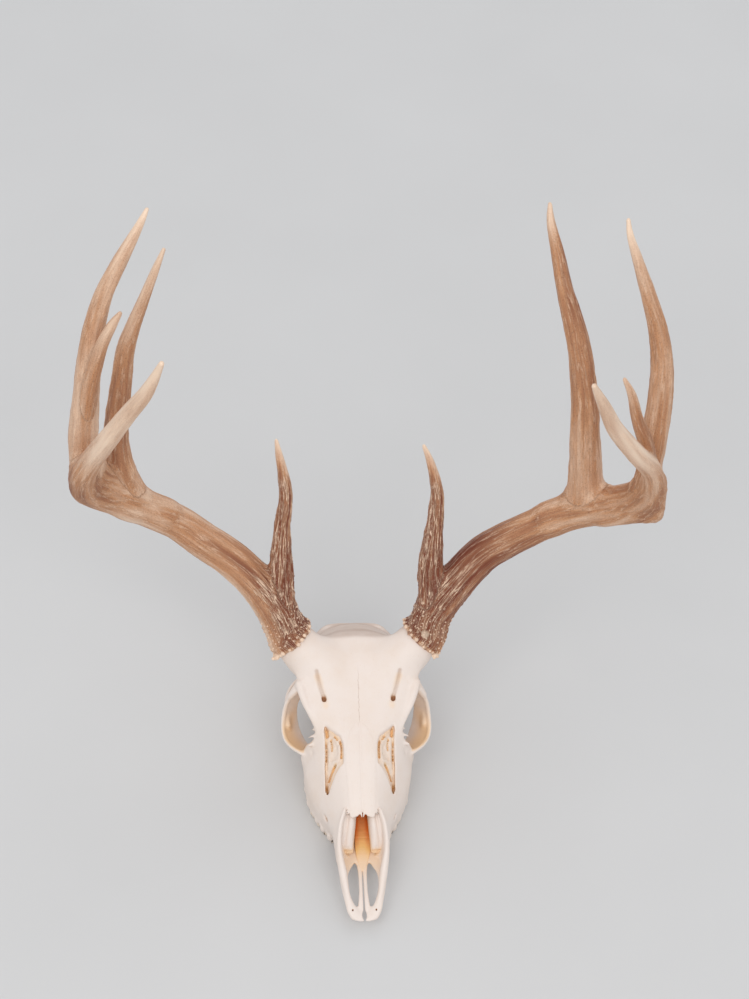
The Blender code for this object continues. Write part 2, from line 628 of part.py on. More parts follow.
def flutes(sides):
    """The long ridges of antler: every other side stands out, and they fade in and out."""
    def wave(angle, length):
        ripple = math.cos(angle * sides / 2 + length * 0.012)
        return 1 + FLUTE_DEPTH * ripple * (0.7 + 0.3 * math.sin(length * 0.05))
    return wave


def beam_wave(angle, length):
    """Knobs round the burr, and long ridges past it."""
    if length < BURR_LENGTH:
        return 1 + BURR_KNOBS * math.cos(angle * BEAM_SIDES / 2 + length)
    return flutes(BEAM_SIDES)(angle, length)


def make_beam(side, points):
    """The main beam from its burr to its tip."""
    sign = 1 if side == "left" else -1
    centre = Vector((BURR_CENTRE[0] * sign, *BURR_CENTRE[1:]))
    axis = Vector((BURR_AXIS[0] * sign, *BURR_AXIS[1:])).normalized()
    foot = [(*(centre + axis * reach), radius) for reach, radius in BURR_RINGS]
    bm = bmesh.new()
    add_tube(bm, foot + points, BEAM_SIDES, RING_STEP, beam_wave)
    return object_from(f"antler_{side}_beam", bm)


def make_antler(side, branches):
    """The beam and its tines, each tine parted from what it grows from by a hair's breadth."""
    made = [make_beam(side, branches[0][1])]
    for name, points in branches[1:]:
        bm = bmesh.new()
        add_tube(bm, points, TINE_SIDES, RING_STEP, flutes(TINE_SIDES))
        tine = object_from(f"antler_{side}_{name}", bm)
        for other in made:
            room = grown_copy(other)
            cut(tine, room)
            keep_largest(tine)
        made.append(tine)
    return made


def make_ground():
    """The block under the resting surface, which trims the tips that the skull leans back on."""
    bm = bmesh.new()
    made = bmesh.ops.create_cube(bm, size=GROUND_SIZE * MM)
    bmesh.ops.translate(bm, verts=made["verts"], vec=(0, 0, -GROUND_SIZE * MM / 2))
    return object_from("ground", bm)


def keep_largest(made):
    """Drops the loose ends that a cut leaves, and keeps the main body."""
    bm = bmesh.new()
    bm.from_mesh(made.data)
    bm.verts.ensure_lookup_table()
    left = set(bm.verts)
    groups = []
    while left:
        stack = [left.pop()]
        group = set(stack)
        while stack:
            for edge in stack.pop().link_edges:
                for vertex in edge.verts:
                    if vertex in left:
                        left.remove(vertex)
                        group.add(vertex)
                        stack.append(vertex)
        groups.append(group)
    groups.sort(key=len)
    for group in groups[:-1]:
        bmesh.ops.delete(bm, geom=list(group), context="VERTS")
    bm.to_mesh(made.data)
    bm.free()


def build():
    clear_scene()
    cranium = make_cranium()
    nasals = make_nasals()
    premaxillae = [make_premaxilla(mirrored) for mirrored in (False, True)]
    teeth = [make_tooth(*tooth, mirrored) for tooth in CHEEK_TEETH for mirrored in (False, True)]
    antlers = [piece for side, branches in (("left", LEFT_ANTLER), ("right", RIGHT_ANTLER))
               for piece in make_antler(side, branches)]
    for bone in premaxillae:
        for nasal in nasals:
            cut(bone, grown_copy(nasal))
    beams = [piece for piece in antlers if piece.name.endswith("beam")]
    for room in [make_nasal_room()] + [grown_copy(piece) for piece in premaxillae + teeth + beams]:
        cut(cranium, room)
    cut(cranium, make_ground())
    keep_largest(cranium)
    weld(cranium)
    for piece in [cranium] + nasals + premaxillae:
        dress(piece, "bone")
    for piece in teeth:
        dress(piece, "enamel")
    for piece in antlers:
        dress(piece, "antler")


build()
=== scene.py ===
"""White-tailed deer skull with both antlers, dressed over its solid model.

Lengths below are in millimetres in the skull's own axes, as in the part's source: x out from the
midline, y back from the tip of the nose, z up from the surface that the teeth stand on. The animal's
own left side is at +x. in_frame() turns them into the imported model's metres.
"""

import copy
import math
from collections import namedtuple

import bpy
import numpy as np
from mathutils import Matrix, Vector


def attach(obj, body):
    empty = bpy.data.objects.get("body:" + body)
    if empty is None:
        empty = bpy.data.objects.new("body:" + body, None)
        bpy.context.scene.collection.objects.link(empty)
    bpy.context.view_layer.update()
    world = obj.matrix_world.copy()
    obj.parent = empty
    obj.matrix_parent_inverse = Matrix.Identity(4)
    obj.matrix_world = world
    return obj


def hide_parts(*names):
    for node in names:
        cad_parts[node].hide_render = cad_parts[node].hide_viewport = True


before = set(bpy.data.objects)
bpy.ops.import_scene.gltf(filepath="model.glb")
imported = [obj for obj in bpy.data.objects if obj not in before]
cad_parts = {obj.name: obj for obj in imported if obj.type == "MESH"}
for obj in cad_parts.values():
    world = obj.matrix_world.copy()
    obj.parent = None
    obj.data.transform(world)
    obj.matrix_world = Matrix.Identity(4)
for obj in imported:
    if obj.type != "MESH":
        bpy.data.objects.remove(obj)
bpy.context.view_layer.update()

bl_info = {
    "name": "White-tailed Deer Skull",
    "version": (1, 0, 0),
    "blender": (4, 5, 0),
    "location": "3D View > Sidebar > Deer Skull",
    "description": "Makes the skull, its teeth and both antlers over the packed model",
    "category": "Object",
}

# A millimetre in metres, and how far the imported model's origin lies behind the tip of the nose
MM = 0.001
ORIGIN_BEHIND_NOSE = 160.8

# The animal's own sides and the sign of x on each
SIDES = (("left", 1), ("right", -1))

# How finely each piece is made, in millimetres, and the most triangles that it keeps
CRANIUM_STEP = 1.0
NASAL_STEP = 0.6
PREMAXILLA_STEP = 0.6
LACE_STEP = 0.5
TOOTH_STEP = 0.5
ANTLER_STEP = 1.1
CRANIUM_TRIANGLES = 195000
ANTLER_TRIANGLES = 197000
PREMAXILLA_TRIANGLES = 60000
SMALL_BONE_TRIANGLES = 40000
VOMER_TRIANGLES = 30000

# What a grid of distances holds away from every shape, and how far round a shape they are worked out
FAR = 50.0
REACH = 6.0

# The box that each bone's grid fills
CRANIUM_BOX = ((0, 44, -2), (72, 292, 134))
NASAL_BOX = ((-1, 72, 48), (18, 156, 96))
PREMAXILLA_BOX = ((-2, -3, 4), (28, 92, 66))
VOMER_BOX = ((-12, 44, 12), (14, 124, 62))
SCROLL_BOX = ((0, 52, 16), (19, 110, 70))
LACE_BOX = ((9, 94, 44), (34, 156, 94))
FACE_OPENING_BOX = ((8, 90, 44), (36, 158, 100))

# Seeds of the noise that frays the scroll bones, dents the lace and breaks up the painted shade on it
SCROLL_SEED = 3
LACE_SEED = 5
LACE_SHADE_SEED = 17

# The camera: height of the photograph and focal length, both in its pixels, tilt, yaw and roll in
# degrees, the point it was fitted about, and its way from there to its own right, up and back
PHOTO_HEIGHT = 999
CAMERA_FOCUS = 2325.6
CAMERA_ANGLES = (44.0, 4.3, -0.4)
CAMERA_TARGET = (0, 150, 60)
CAMERA_OFFSET = (14.128, 208.694, 2000.0)

# The stage, in metres: the floor's half width, the point that the lights face, and each light's
# name, place, width, share of the main light's power and colour
FLOOR_REACH = 6.0
LIGHT_TARGET = (0, 0.02, 0.2)
LIGHTS = [
    ("key_light", (-0.9, -1.6, 2.4), 1.6, 1.0, (1.0, 0.985, 0.96)),
    ("fill_light", (0.5, -1.8, 2.0), 1.2, 0.55, (0.98, 0.99, 1.0)),
    ("rim_light", (0.3, 1.9, 1.9), 1.6, 0.35, (1.0, 1.0, 1.0)),
]

# Half outlines of the skull across y, each from the midline of the roof out and down to the midline
# of the palate or of the skull's base: roof, edge over the orbit, side, alveolar ridge, palate
SKULL_SECTIONS = {
    49: [(0, 41), (7, 42), (13, 41), (17, 39), (20, 36), (22, 32), (22.3, 27), (21, 21.5),
         (18, 17.5), (12, 16), (6, 16), (0, 16)],
    62: [(0, 52), (7, 52), (12, 51), (16, 48), (20, 43), (23, 37), (23.5, 31), (22, 24),
         (18.5, 18.5), (12, 17), (6, 18), (0, 18)],
    78: [(0, 60), (6.5, 60), (12, 58), (16, 54), (20.5, 47.5), (24, 40), (25.5, 33), (24.5, 25),
         (21, 18), (15, 17.5), (8, 19), (0, 19.5)],
    92: [(0, 66.5), (7, 66.5), (13, 64), (18, 59), (23.5, 51.5), (28.5, 42), (31, 33), (30.5, 23),
         (27.5, 12.5), (17, 12.5), (11, 20), (0, 22)],
    108: [(0, 73), (8, 73), (14.5, 70.5), (21, 65), (27.5, 57), (33.5, 46.5), (38, 36), (39, 25),
          (36, 12), (23, 12), (14, 21.5), (0, 23.5)],
    125: [(0, 79.5), (9, 80), (17, 77.5), (25, 71.5), (33, 62), (39.5, 50), (44, 39), (44.5, 26),
          (42, 12), (26, 12), (16, 22.5), (0, 25)],
    140: [(0, 84.5), (12, 85), (22, 82.5), (31, 76.5), (38, 66), (43, 54), (47, 42), (46, 28),
          (43.5, 12), (27, 12), (17, 23), (0, 26)],
    150: [(0, 87.5), (14, 88.5), (26, 86.5), (36, 80.5), (41, 70), (44, 58), (47.5, 46), (45, 31),
          (43, 12.5), (27, 12.5), (17.5, 23.5), (0, 27)],
    160: [(0, 91), (17, 92), (31, 90.5), (42, 85), (33, 78), (24, 68), (27, 50), (42, 37),
          (41, 13), (26, 13), (17, 24), (0, 27.5)],
    170: [(0, 95.5), (20, 96.5), (36, 95), (48, 89), (38, 82), (21, 72), (19, 52), (28, 37),
          (34, 20), (25, 18), (16.5, 26), (0, 30)],
    180: [(0, 101), (22, 102), (39, 100), (51, 94), (40, 86.5), (20, 76), (16, 58), (15, 46),
          (14, 40), (11, 38), (7, 38), (0, 39)],
    190: [(0, 107), (22, 107.5), (40, 106), (51.5, 100), (42, 90), (25, 79), (20, 62), (17, 49),
          (13, 42), (9, 41), (5, 41), (0, 41)],
    203: [(0, 113), (20, 113.5), (38, 113), (49, 107), (43, 95), (36, 80), (33, 64), (25, 50),
          (17, 43), (11, 41), (6, 40), (0, 40)],
    216: [(0, 115), (18, 114.5), (34, 116.5), (46, 113), (43, 98), (41, 83), (39, 67), (31, 51),
          (20, 43), (13, 40), (7, 39), (0, 39)],
    228: [(0, 113), (16, 112), (28, 107.5), (36, 100), (40, 90), (41.5, 79), (40.5, 65), (34, 51),
          (23, 42), (14, 39), (7, 38.5), (0, 38.5)],
    242: [(0, 103), (13, 101.5), (24, 97), (33, 89.5), (39, 80.5), (41, 70), (40, 59), (33, 47),
          (23, 39.5), (14, 37.5), (7, 37.5), (0, 37.5)],
    255: [(0, 92.5), (12, 91), (22, 87), (31, 80.5), (37.5, 72.5), (39.5, 63), (38, 53), (31, 43),
          (22, 37), (14, 35.5), (7, 35.5), (0, 35.5)],
    264: [(0, 83.5), (11, 82.5), (20, 79), (28, 74), (34, 67), (36, 58.5), (34, 50), (28, 41),
          (20, 35.5), (13, 34), (7, 33.5), (0, 33.5)],
    272: [(0, 70), (9, 70), (16, 68), (22, 64), (26, 59), (27.5, 53), (26, 46), (22, 39),
          (16, 34), (11, 33), (6, 32.5), (0, 32.5)],
}

# The passage of the nose: y, half width, floor and roof. Ahead of the nasal bones it is open above
NASAL_PASSAGE = [
    (38, 16.8, 8, 90), (54.5, 17.2, 8, 90), (57, 17.5, 20.3, 90), (62, 17.8, 20.5, 90),
    (74, 17.5, 21.5, 90), (77, 17.5, 22, 57.5),
    (92, 17, 25, 63), (110, 16, 28, 69), (130, 14, 32, 76), (148, 9, 38, 76),
]

# Rods of the skull: centre points with a radius across and a radius up at each
PEDICLE = [(28, 203, 94, 21, 21), (43.6, 212, 105, 19.6, 19.6), (55, 219.3, 116, 17.2, 17.2)]
CREST = [(46, 213, 112, 8, 7.5), (32, 217, 108.5, 6.5, 6), (18, 218.5, 107.5, 6.5, 6),
         (8, 219.5, 108.5, 6.5, 6), (0, 219.5, 109.5, 6.5, 6)]
ZYGOMATIC_ARCH = [(59, 176, 50, 2.6, 6), (60, 188, 55, 2.5, 5.5), (58, 203, 60, 2.4, 5.2),
                  (51, 214, 62, 2.8, 4.6), (41, 222, 60, 6, 4.6), (33, 228, 58, 7, 6)]
PTERYGOID_PLATE = [(17, 166, 27, 2.4, 6), (13.5, 176, 30, 1.7, 9), (12, 190, 33, 1.5, 9),
                   (12, 203, 39, 1.8, 6)]
PROCESS_BEHIND_EAR = [(27, 256, 46, 7.5, 6), (28.5, 263, 30, 5, 4.6), (27.5, 267, 13, 3.4, 3.4),
                      (26.3, 268, 1.8, 2.0, 2.2)]
SEPTUM = [(0, 100, 30, 1.2, 6), (0, 125, 40, 1.4, 12), (0, 148, 52, 2.2, 17)]
NUCHAL_CREST = [(0, 264, 79.5, 4, 3), (13, 264, 79.8, 3.5, 3), (23, 262.5, 79.5, 3, 3),
                (29.5, 258, 76, 3, 3), (36, 252, 67, 3, 3), (40, 246, 57, 3, 3)]
FRONTAL_EDGE = [(50, 184, 98, 4, 4), (48.5, 178, 95.5, 3.6, 3.4), (44.6, 168, 90, 3.2, 3.0),
                (40.6, 161.5, 85.5, 3.2, 2.8), (35.6, 153, 79.5, 3.2, 2.8), (34, 149, 75, 3, 3)]
BROW_PROCESS = [(44, 188, 99, 6, 4.5), (50, 186, 94, 4.5, 4), (54.5, 184.5, 88, 3, 3.2),
                (57.5, 184, 82, 2.4, 2.6)]
ORBIT_SPIKES = [
    [(34, 148.5, 75, 2.4, 2.2), (39, 147.6, 72.5, 1.3, 1.2), (43.2, 147.2, 71.2, 0.6, 0.6)],
    [(34, 151.5, 78, 2.4, 2.2), (38.6, 151.6, 76.2, 1.0, 1.0), (40, 151.8, 75.6, 0.6, 0.6)],
    [(33, 145, 70, 2.4, 2.4), (38.5, 143.6, 67.5, 1.4, 1.6), (42.5, 142.4, 66, 1.2, 1.6)],
]

# The outer wall of the orbit: its rim in front and its inner edge behind, point for point
ORBIT_RIM = [(53, 182.5, 90), (58.2, 184, 80), (61.4, 183, 70), (63, 180, 61), (63.7, 171, 53),
             (61.5, 162, 49.5), (56.5, 153.5, 50.2), (49, 146.5, 51), (43, 143.5, 50)]
ORBIT_WALL_BACK = [(46, 187, 81), (50, 190, 70), (51.8, 190, 60), (51.8, 188.5, 51), (50.5, 184.5, 42),
                   (47.5, 177, 37), (44, 168.5, 37), (40, 160, 38.5), (37, 152, 42)]

# Lumps of the skull: centre, radii and turn
EAR_BULB = ((24, 240, 35), (9, 11, 9), 0)
EAR_TUBE = ((37, 246, 56), (7, 6, 6), 0)
CONDYLE = ((13.5, 276, 40), (8, 8.5, 13), 0)
TOOTH_RIDGE_END = ((30, 162, 24), (9, 8, 11), 0)
ORBIT_HOLLOW = ((48, 165, 71), (23, 20.5, 18.5), 0)
BRAIN_HOLLOW = ((0, 226, 71), (31, 32, 25), 0)
THROAT = ((0, 178, 34), (9, 24, 7), 0)
BROW_FORAMEN = ((29.6, 170.0, 93.4), (1.9, 2.8, 4.6), -12)
BROW_GROOVE = [(29.6, 170.6, 95.9, 1.6, 1.6), (31.2, 174, 98.2, 1.4, 1.5), (33, 178.5, 101.2, 1.4, 1.6),
               (34.6, 183.5, 105.4, 1.2, 1.4), (35.8, 188.5, 109.8, 0.8, 0.8)]
BROW_SHEEN = [(28.6, 163, 94.5), (29.2, 168.8, 98), (32, 176, 102), (35, 185, 106.5)]
CHEEK_FORAMEN = ((28.5, 90, 33), (6, 3, 2.2), 12)
TEAR_DUCT = ((34.2, 139, 77), (1.3, 2.0, 2.2), 0)
TEAR_PIT = ((43, 136, 62), (3.2, 5.5, 5), 30)
FORAMEN_MAGNUM = [(0, 248, 56, 12.5), (0, 268, 51, 12.5), (0, 296, 44, 13.5)]

# The opening in the face between the nasal bone and the cheek, seen from above
FACE_OPENING = [(29.6, 150), (25, 146), (20.8, 142.6), (16.8, 139.4), (14.7, 133), (14.2, 125),
                (14.8, 117), (18.2, 115), (21.8, 111.4), (24.8, 106.2), (27.6, 101), (29.3, 105.5),
                (29.2, 113), (29.9, 120), (29.4, 130), (29.2, 140), (30, 146)]
FACE_OPENING_DEPTH = 13.0

# Each premaxilla: the bar that climbs to the nasal bone, the plate under it seen from above with the
# long slit in it, the small hole near its tip, how far back the left and right one stand apart, and
# the plate's height at places back from the nose
PREMAXILLA_BAR = [(7.5, 5.5, 11.5, 4.2, 2.6), (10.4, 10, 13.5, 4, 2.8), (12.5, 16, 16, 2.9, 3.2),
                  (14.7, 24, 20, 2.7, 3.8), (16.9, 37, 26.5, 3.4, 4.6), (19.9, 54, 36.5, 2.7, 5.4),
                  (18.8, 68, 47, 2.4, 5.4), (15.6, 78, 54.8, 1.9, 4.4), (14.6, 81.5, 57.2, 1.2, 2.2)]
PREMAXILLA_PLATE = [(0.4, 0.5), (3.8, 0.2), (7.6, 1.0), (10.9, 4.0), (13.2, 9), (14.8, 14), (16.8, 22),
                    (19, 32), (20.4, 44), (20.5, 76), (0.02, 76), (0.02, 42), (0.3, 41), (0.4, 26),
                    (0.45, 10.5), (1.5, 8), (1.8, 5), (1.2, 2.8)]
PREMAXILLA_SLIT = [(5.9, 52.8), (7.3, 51.6), (9, 48.6), (11.6, 43.5), (12.9, 38), (12.9, 32), (11.9, 24),
                   (10.0, 16), (8.2, 13), (6.6, 12.4), (5.2, 14), (4.4, 19), (3.7, 28), (3.6, 37), (3.9, 45),
                   (4.6, 50.5)]
PREMAXILLA_PORE = ((9.9, 8.7, 14), (0.7, 1.0, 4))
PREMAXILLA_PART = 41.5
PLATE_HEIGHTS = [(0, 11), (8, 12), (25, 15), (37, 16.8), (50, 18.8), (62, 20.4), (76, 22)]
PLATE_THICKNESS = 2.4

# The trough of the vomer on the floor of the nose, its left and right edge point for point, and the
# scroll bone beside it
VOMER_EDGES = ([(-0.6, 46, 18.4), (-3.4, 56, 21.2), (-4.8, 68, 24.6), (-4.2, 81, 29.6), (-3.2, 93, 36),
                (-2.4, 106, 44), (-2, 118, 52)],
               [(1.4, 46, 18.4), (5.0, 56, 21.2), (7.8, 68, 24.6), (6.2, 81, 29.6), (4.8, 93, 36),
                (3.6, 106, 44), (2.6, 118, 52)])
SCROLL = [(11.6, 60, 28, 4.4, 3.6), (11, 66, 34, 4.4, 5.6), (8.8, 76, 45, 3.7, 7.5),
          (7.2, 88, 52, 3.3, 9), (6.8, 104, 55, 3.1, 9)]
SCROLL_WING = [(16.2, 60, 26, 3.2, 3.4), (16.4, 66, 32.5, 3, 5.4), (14.8, 76, 44, 3.4, 7),
               (13, 88, 51, 3.4, 8), (11.8, 104, 55, 3, 8)]
SCROLL_END = 58.5

# The thin bone inside the opening of the face, seen from above: strands with how far under the
# skull's own skin they lie, the sheet between them, and the pits with how wide they are
LACE_STRANDS = [
    [(27.4, 146, 3.5), (26.6, 139, 2.8), (25.9, 131, 2.6), (26.1, 123, 2.8), (27.6, 116.5, 3.4),
     (28.2, 110, 4)],
    [(24.6, 145.4, 3.2), (21.0, 139.5, 2.8), (18.2, 132.5, 2.6), (17.9, 125, 2.8), (19.2, 120.8, 3)],
    [(26.4, 122.6, 2.6), (23.4, 122.8, 2.4), (19.2, 121, 2.6)],
    [(27.3, 143.6, 3.4), (23, 139.5, 3.2), (18.6, 136.6, 3.4)],
    [(19.4, 120.6, 3.2), (22.6, 115.4, 3.4), (25, 110, 3.8), (27, 104, 4.4)],
    [(29.4, 149, 2.8), (29.4, 140, 2.5), (29.6, 130, 2.4), (29.9, 120, 2.6), (29.4, 110, 3),
     (28, 102.5, 3.6)],
]
LACE_SHEET = [(25.4, 141), (20.4, 138), (18.4, 131), (18.4, 123), (25.6, 122.6)]
LACE_PITS = [([(27.8, 147.6), (27.4, 143.0)], 1.2), ([(21.0, 140.6), (19.4, 138.2)], 0.8),
             ([(28.7, 138), (28.2, 132), (28.4, 127)], 0.6), ([(21.4, 119.6), (24, 116.4), (26, 112.6)], 1.0),
             ([(16.6, 136.4), (15.9, 130), (16.1, 124)], 0.7), ([(28.4, 110), (27.6, 104.8)], 0.7),
             ([(24.4, 139.4), (23.4, 135.4), (23.6, 131.4)], 0.4)]
LACE_DEPTH = 3.8
LACE_SHEET_DEPTH = 4.0
LACE_THICKNESS = 2.2

# One nasal bone seen from above: its outline, its thickness and how far it stands over the skull
NASAL_OUTLINE = [(0.25, 73.2), (0.9, 72.8), (1.9, 75.2), (2.6, 75.3), (4.2, 73.8), (7.4, 73), (10, 73.4),
                 (10.9, 76), (11.2, 80), (12.0, 85), (12.6, 92), (13.2, 104), (13.4, 116),
                 (12.8, 126), (11.2, 136), (8, 143.5), (4.6, 148.5), (0.25, 150.5)]
NASAL_THICKNESS = 2.2
NASAL_LIFT = 0.25

# Bands of painted shade across the back of the head: height, and where each ends and is full beside that
SHADE_BANDS = [(106, 6, 1), (85, 3, 0.5)]

# Upper cheek teeth, front to back: name, centre x, centre y, width, length, turn in degrees, lobes
CHEEK_TEETH = [
    ("premolar_2", 22.2, 94.5, 9.0, 10.6, 30, 1), ("premolar_3", 27.0, 103.6, 11.0, 10.8, 28, 1),
    ("premolar_4", 31.2, 113.0, 12.5, 10.6, 22, 1), ("molar_1", 34.3, 125.2, 14.5, 13.6, 10, 2),
    ("molar_2", 35.6, 140.2, 15.5, 15.0, 0, 2), ("molar_3", 34.6, 155.6, 14.5, 14.6, -8, 2),
]

# Antlers. Each branch: name, then centre points with the radius there. The animal's left is first
LEFT_ANTLER = [
    ("beam", [(66, 230, 138, 17), (84.5, 240.5, 164, 16.2), (105, 250, 187, 15.8),
              (124, 252, 203, 15.2), (144, 251, 219, 14.6), (168, 249, 236, 14.2),
              (190, 241, 253, 14), (212, 226, 275, 13), (224, 210, 299, 11.5),
              (226, 196, 326, 9.8), (219, 184, 357, 8.4), (201, 167, 391, 7.6),
              (178, 150, 433, 6.6), (162, 134, 473, 4.9), (149, 121, 506, 2.2)]),
    ("brow_tine", [(64, 230, 146, 12), (62, 245, 176, 10.4), (63, 254, 202, 8.4), (64, 261, 220, 7.0),
                   (65, 269, 239, 5.8), (63, 275, 253, 4.7), (58, 283, 269, 3.3),
                   (52.5, 288.5, 281, 1.7)]),
    ("second_tine", [(187, 244, 256, 8), (185, 246, 274, 13), (183, 249, 291, 13.6),
                     (178.5, 252, 328, 12.4), (175, 258, 363, 11), (169.5, 267, 396, 9.8),
                     (162, 276, 425, 8.6), (153, 287, 452, 6.8), (145, 300, 481, 5.2),
                     (139, 312, 502, 3.4), (138, 319.5, 513, 1.8)]),
    ("third_tine", [(223, 207, 312, 9), (225.5, 213, 355, 10.5), (226.5, 222, 396, 9.8),
                    (224, 228, 432, 8.8), (217, 232, 462, 7.4), (207, 236, 491, 6.0),
                    (197, 241, 517, 4.5), (188, 248, 540, 2.8), (185.5, 252.5, 552, 1.7)]),
    ("fourth_point", [(222, 191, 350, 5), (213, 190, 381, 6.2), (203, 189, 406, 5.0),
                      (195, 188, 433, 3.5), (187, 188, 450, 1.7)]),
]
RIGHT_ANTLER = [
    ("beam", [(-68, 230, 138, 17), (-84.5, 241, 162, 16.2), (-106, 251, 182, 15.8),
              (-133, 257, 203, 15.2), (-154, 260, 221, 14.6), (-180, 254, 244, 14.2),
              (-207, 240, 273, 13), (-223.5, 220, 303, 12), (-225.5, 203, 334, 10.4),
              (-217, 191.5, 364, 8.8), (-203, 173, 404, 7.8), (-187, 157, 445, 6.8),
              (-172, 141, 483, 5.4), (-160.5, 128.5, 522, 2.2)]),
    ("brow_tine", [(-66, 231, 147, 12), (-66, 249, 183, 9.4), (-65, 260, 212, 7.0),
                   (-63, 267, 231, 6.0), (-63, 273, 248, 5.4), (-67.5, 283.5, 271, 3.6),
                   (-70.7, 290.5, 286, 1.7)]),
    ("second_tine", [(-192, 249, 255, 8), (-195, 252, 270, 12.4), (-198, 254, 286, 12.0),
                     (-201.5, 258, 320, 10.4), (-197, 263, 364, 9), (-192, 273, 401, 7.4),
                     (-185, 278, 425, 6.0), (-176, 283, 449, 4.4), (-167, 290, 472, 3.1),
                     (-160.5, 294.5, 488, 1.7)]),
    ("third_tine", [(-223.5, 216, 312, 9), (-225, 220, 352, 11.6), (-221.5, 224, 396, 10.4),
                    (-216, 230, 446, 8.8), (-209, 234, 479, 7.6), (-202, 237, 500, 6.6),
                    (-188, 244, 528, 5.2), (-177, 252, 547, 3.2), (-171.5, 257.5, 557, 1.7)]),
    ("fourth_point", [(-223, 219, 366, 6), (-218, 217, 410, 6.2), (-208.5, 217, 454, 5.2),
                      (-199, 215, 480, 3.9), (-192, 214, 494, 1.8)]),
]
# Rods that fill the corners of each antler: the web between its second and third tines, the
# buttress on the inner side of the second one, and the keel along the outside of the beam's bend
LEFT_CORNERS = [
    [(190, 240, 262, 8), (203, 231, 275, 7.5), (215, 221, 290, 7.5), (222, 213, 307, 7)],
    [(160, 249, 236, 11), (172, 248, 250, 9), (179, 249, 268, 7.5), (182, 251, 292, 5)],
    [(202, 229, 257, 7), (220, 216, 272, 6.5), (231, 206, 281, 6), (235.5, 200, 289, 5.5),
     (233.5, 199, 306, 6), (229, 199, 328, 6)],
]
RIGHT_CORNERS = [
    [(-193, 250, 266, 9), (-206, 240, 290, 8), (-215, 230, 316, 8), (-221, 222, 344, 8)],
    [(-164, 257, 236, 11), (-178, 255, 250, 9), (-188, 254, 266, 7.5), (-196, 256, 290, 5)],
    [(-194, 244, 256, 5), (-206, 237, 266, 4.2), (-218, 226, 285, 4.4), (-227, 217, 300, 4.6),
     (-227.5, 211, 318, 6), (-227, 209, 342, 6)],
]
# Each antler's branches, corner rods and the seed of its noise
ANTLERS = {"left": (LEFT_ANTLER, LEFT_CORNERS, 11), "right": (RIGHT_ANTLER, RIGHT_CORNERS, 29)}
# The left antler's foot: its middle, the way it leaves the skull, and its rings, each with how far
# out it lies and its radius
BURR_CENTRE = (54, 219, 115)
BURR_AXIS = (0.68, 0.34, 0.65)
BURR_RINGS = [(-5.0, 16.5), (0.0, 20.0), (3.0, 20.6), (6.0, 19.2), (10.5, 17.4)]
# Single large pearls near each burr: centre and radius
LARGE_PEARLS = {"left": [((57.2, 208.0, 133.8), 2.5), ((64.4, 195.0, 117.6), 2.7),
                         ((66.4, 203.4, 109.4), 3.6), ((62.2, 203.6, 109.8), 2.6)],
                "right": [((-68.6, 204.2, 109.2), 3.8), ((-62.8, 203.2, 112.4), 2.6)]}
# Beads sown over each antler by the mark they follow: least mark, spacing, smallest and largest radius
SOWN_PEARLS = {"burr": (0.9, 3.4, 0.45, 0.9), "rim": (0.5, 3.7, 1.1, 2.3)}
# How wide the fillet is round the corner rods, and where each branch leaves the antler
CORNER_FILLETS = {"left": 11, "right": 8}
FORK_FILLETS = {"beam": 6, "brow_tine": 6, "second_tine": 15, "third_tine": 8, "fourth_point": 4}

# The antler's ridges: how far apart they stand and how long they run
RIDGE_GAP = 4.6
RIDGE_LENGTH = 26.0
# Colour along each branch: pairs of the share of its length and a tone, 0 dark brown to 1 cream
BRANCH_TONES = {
    "left": {
        "beam": [(0.0, 0.28), (0.1, 0.16), (0.2, 0.1), (0.28, 0.34), (0.36, 0.52), (0.48, 0.56), (0.57, 0.44),
                 (0.66, 0.6), (0.76, 0.86), (1.0, 0.92)],
        "brow_tine": [(0.0, 0.24), (0.45, 0.30), (0.75, 0.40), (0.9, 0.76), (1.0, 0.95)],
        "second_tine": [(0.0, 0.56), (0.3, 0.58), (0.5, 0.38), (0.7, 0.34), (0.85, 0.46), (0.95, 0.8),
                        (1.0, 0.95)],
        "third_tine": [(0.0, 0.50), (0.3, 0.56), (0.6, 0.56), (0.85, 0.62), (0.95, 0.86), (1.0, 0.95)],
        "fourth_point": [(0.0, 0.5), (0.6, 0.56), (0.9, 0.8), (1.0, 0.92)],
    },
    "right": {
        "beam": [(0.0, 0.26), (0.12, 0.36), (0.2, 0.42), (0.3, 0.58), (0.4, 0.72), (0.48, 0.58), (0.56, 0.32),
                 (0.64, 0.56), (0.76, 0.88), (1.0, 0.94)],
        "brow_tine": [(0.0, 0.28), (0.4, 0.36), (0.75, 0.38), (0.9, 0.76), (1.0, 0.95)],
        "second_tine": [(0.0, 0.46), (0.3, 0.42), (0.5, 0.40), (0.7, 0.58), (0.8, 0.62), (0.95, 0.82),
                        (1.0, 0.92)],
        "third_tine": [(0.0, 0.72), (0.3, 0.72), (0.6, 0.68), (0.85, 0.7), (0.95, 0.82), (1.0, 0.92)],
        "fourth_point": [(0.0, 0.56), (0.6, 0.62), (0.9, 0.8), (1.0, 0.9)],
    },
}
# How much paler the outer side of each antler's base is
OUTER_TONE = {"left": 0.16, "right": 0.52}
# Height of the ridges along each branch, in the same pairs
BRANCH_RELIEF = {
    "beam": [(0.0, 0.8), (0.12, 0.8), (0.3, 0.8), (0.6, 0.8), (0.72, 0.5), (0.85, 0.2), (1.0, 0.0)],
    "brow_tine": [(0.0, 2.0), (0.5, 1.6), (0.78, 0.9), (0.92, 0.2), (1.0, 0.0)],
    "second_tine": [(0.0, 1.2), (0.5, 0.9), (0.85, 0.4), (1.0, 0.0)],
    "third_tine": [(0.0, 1.2), (0.5, 0.9), (0.85, 0.45), (1.0, 0.0)],
    "fourth_point": [(0.0, 0.9), (0.6, 0.5), (0.9, 0.1), (1.0, 0.0)],
}

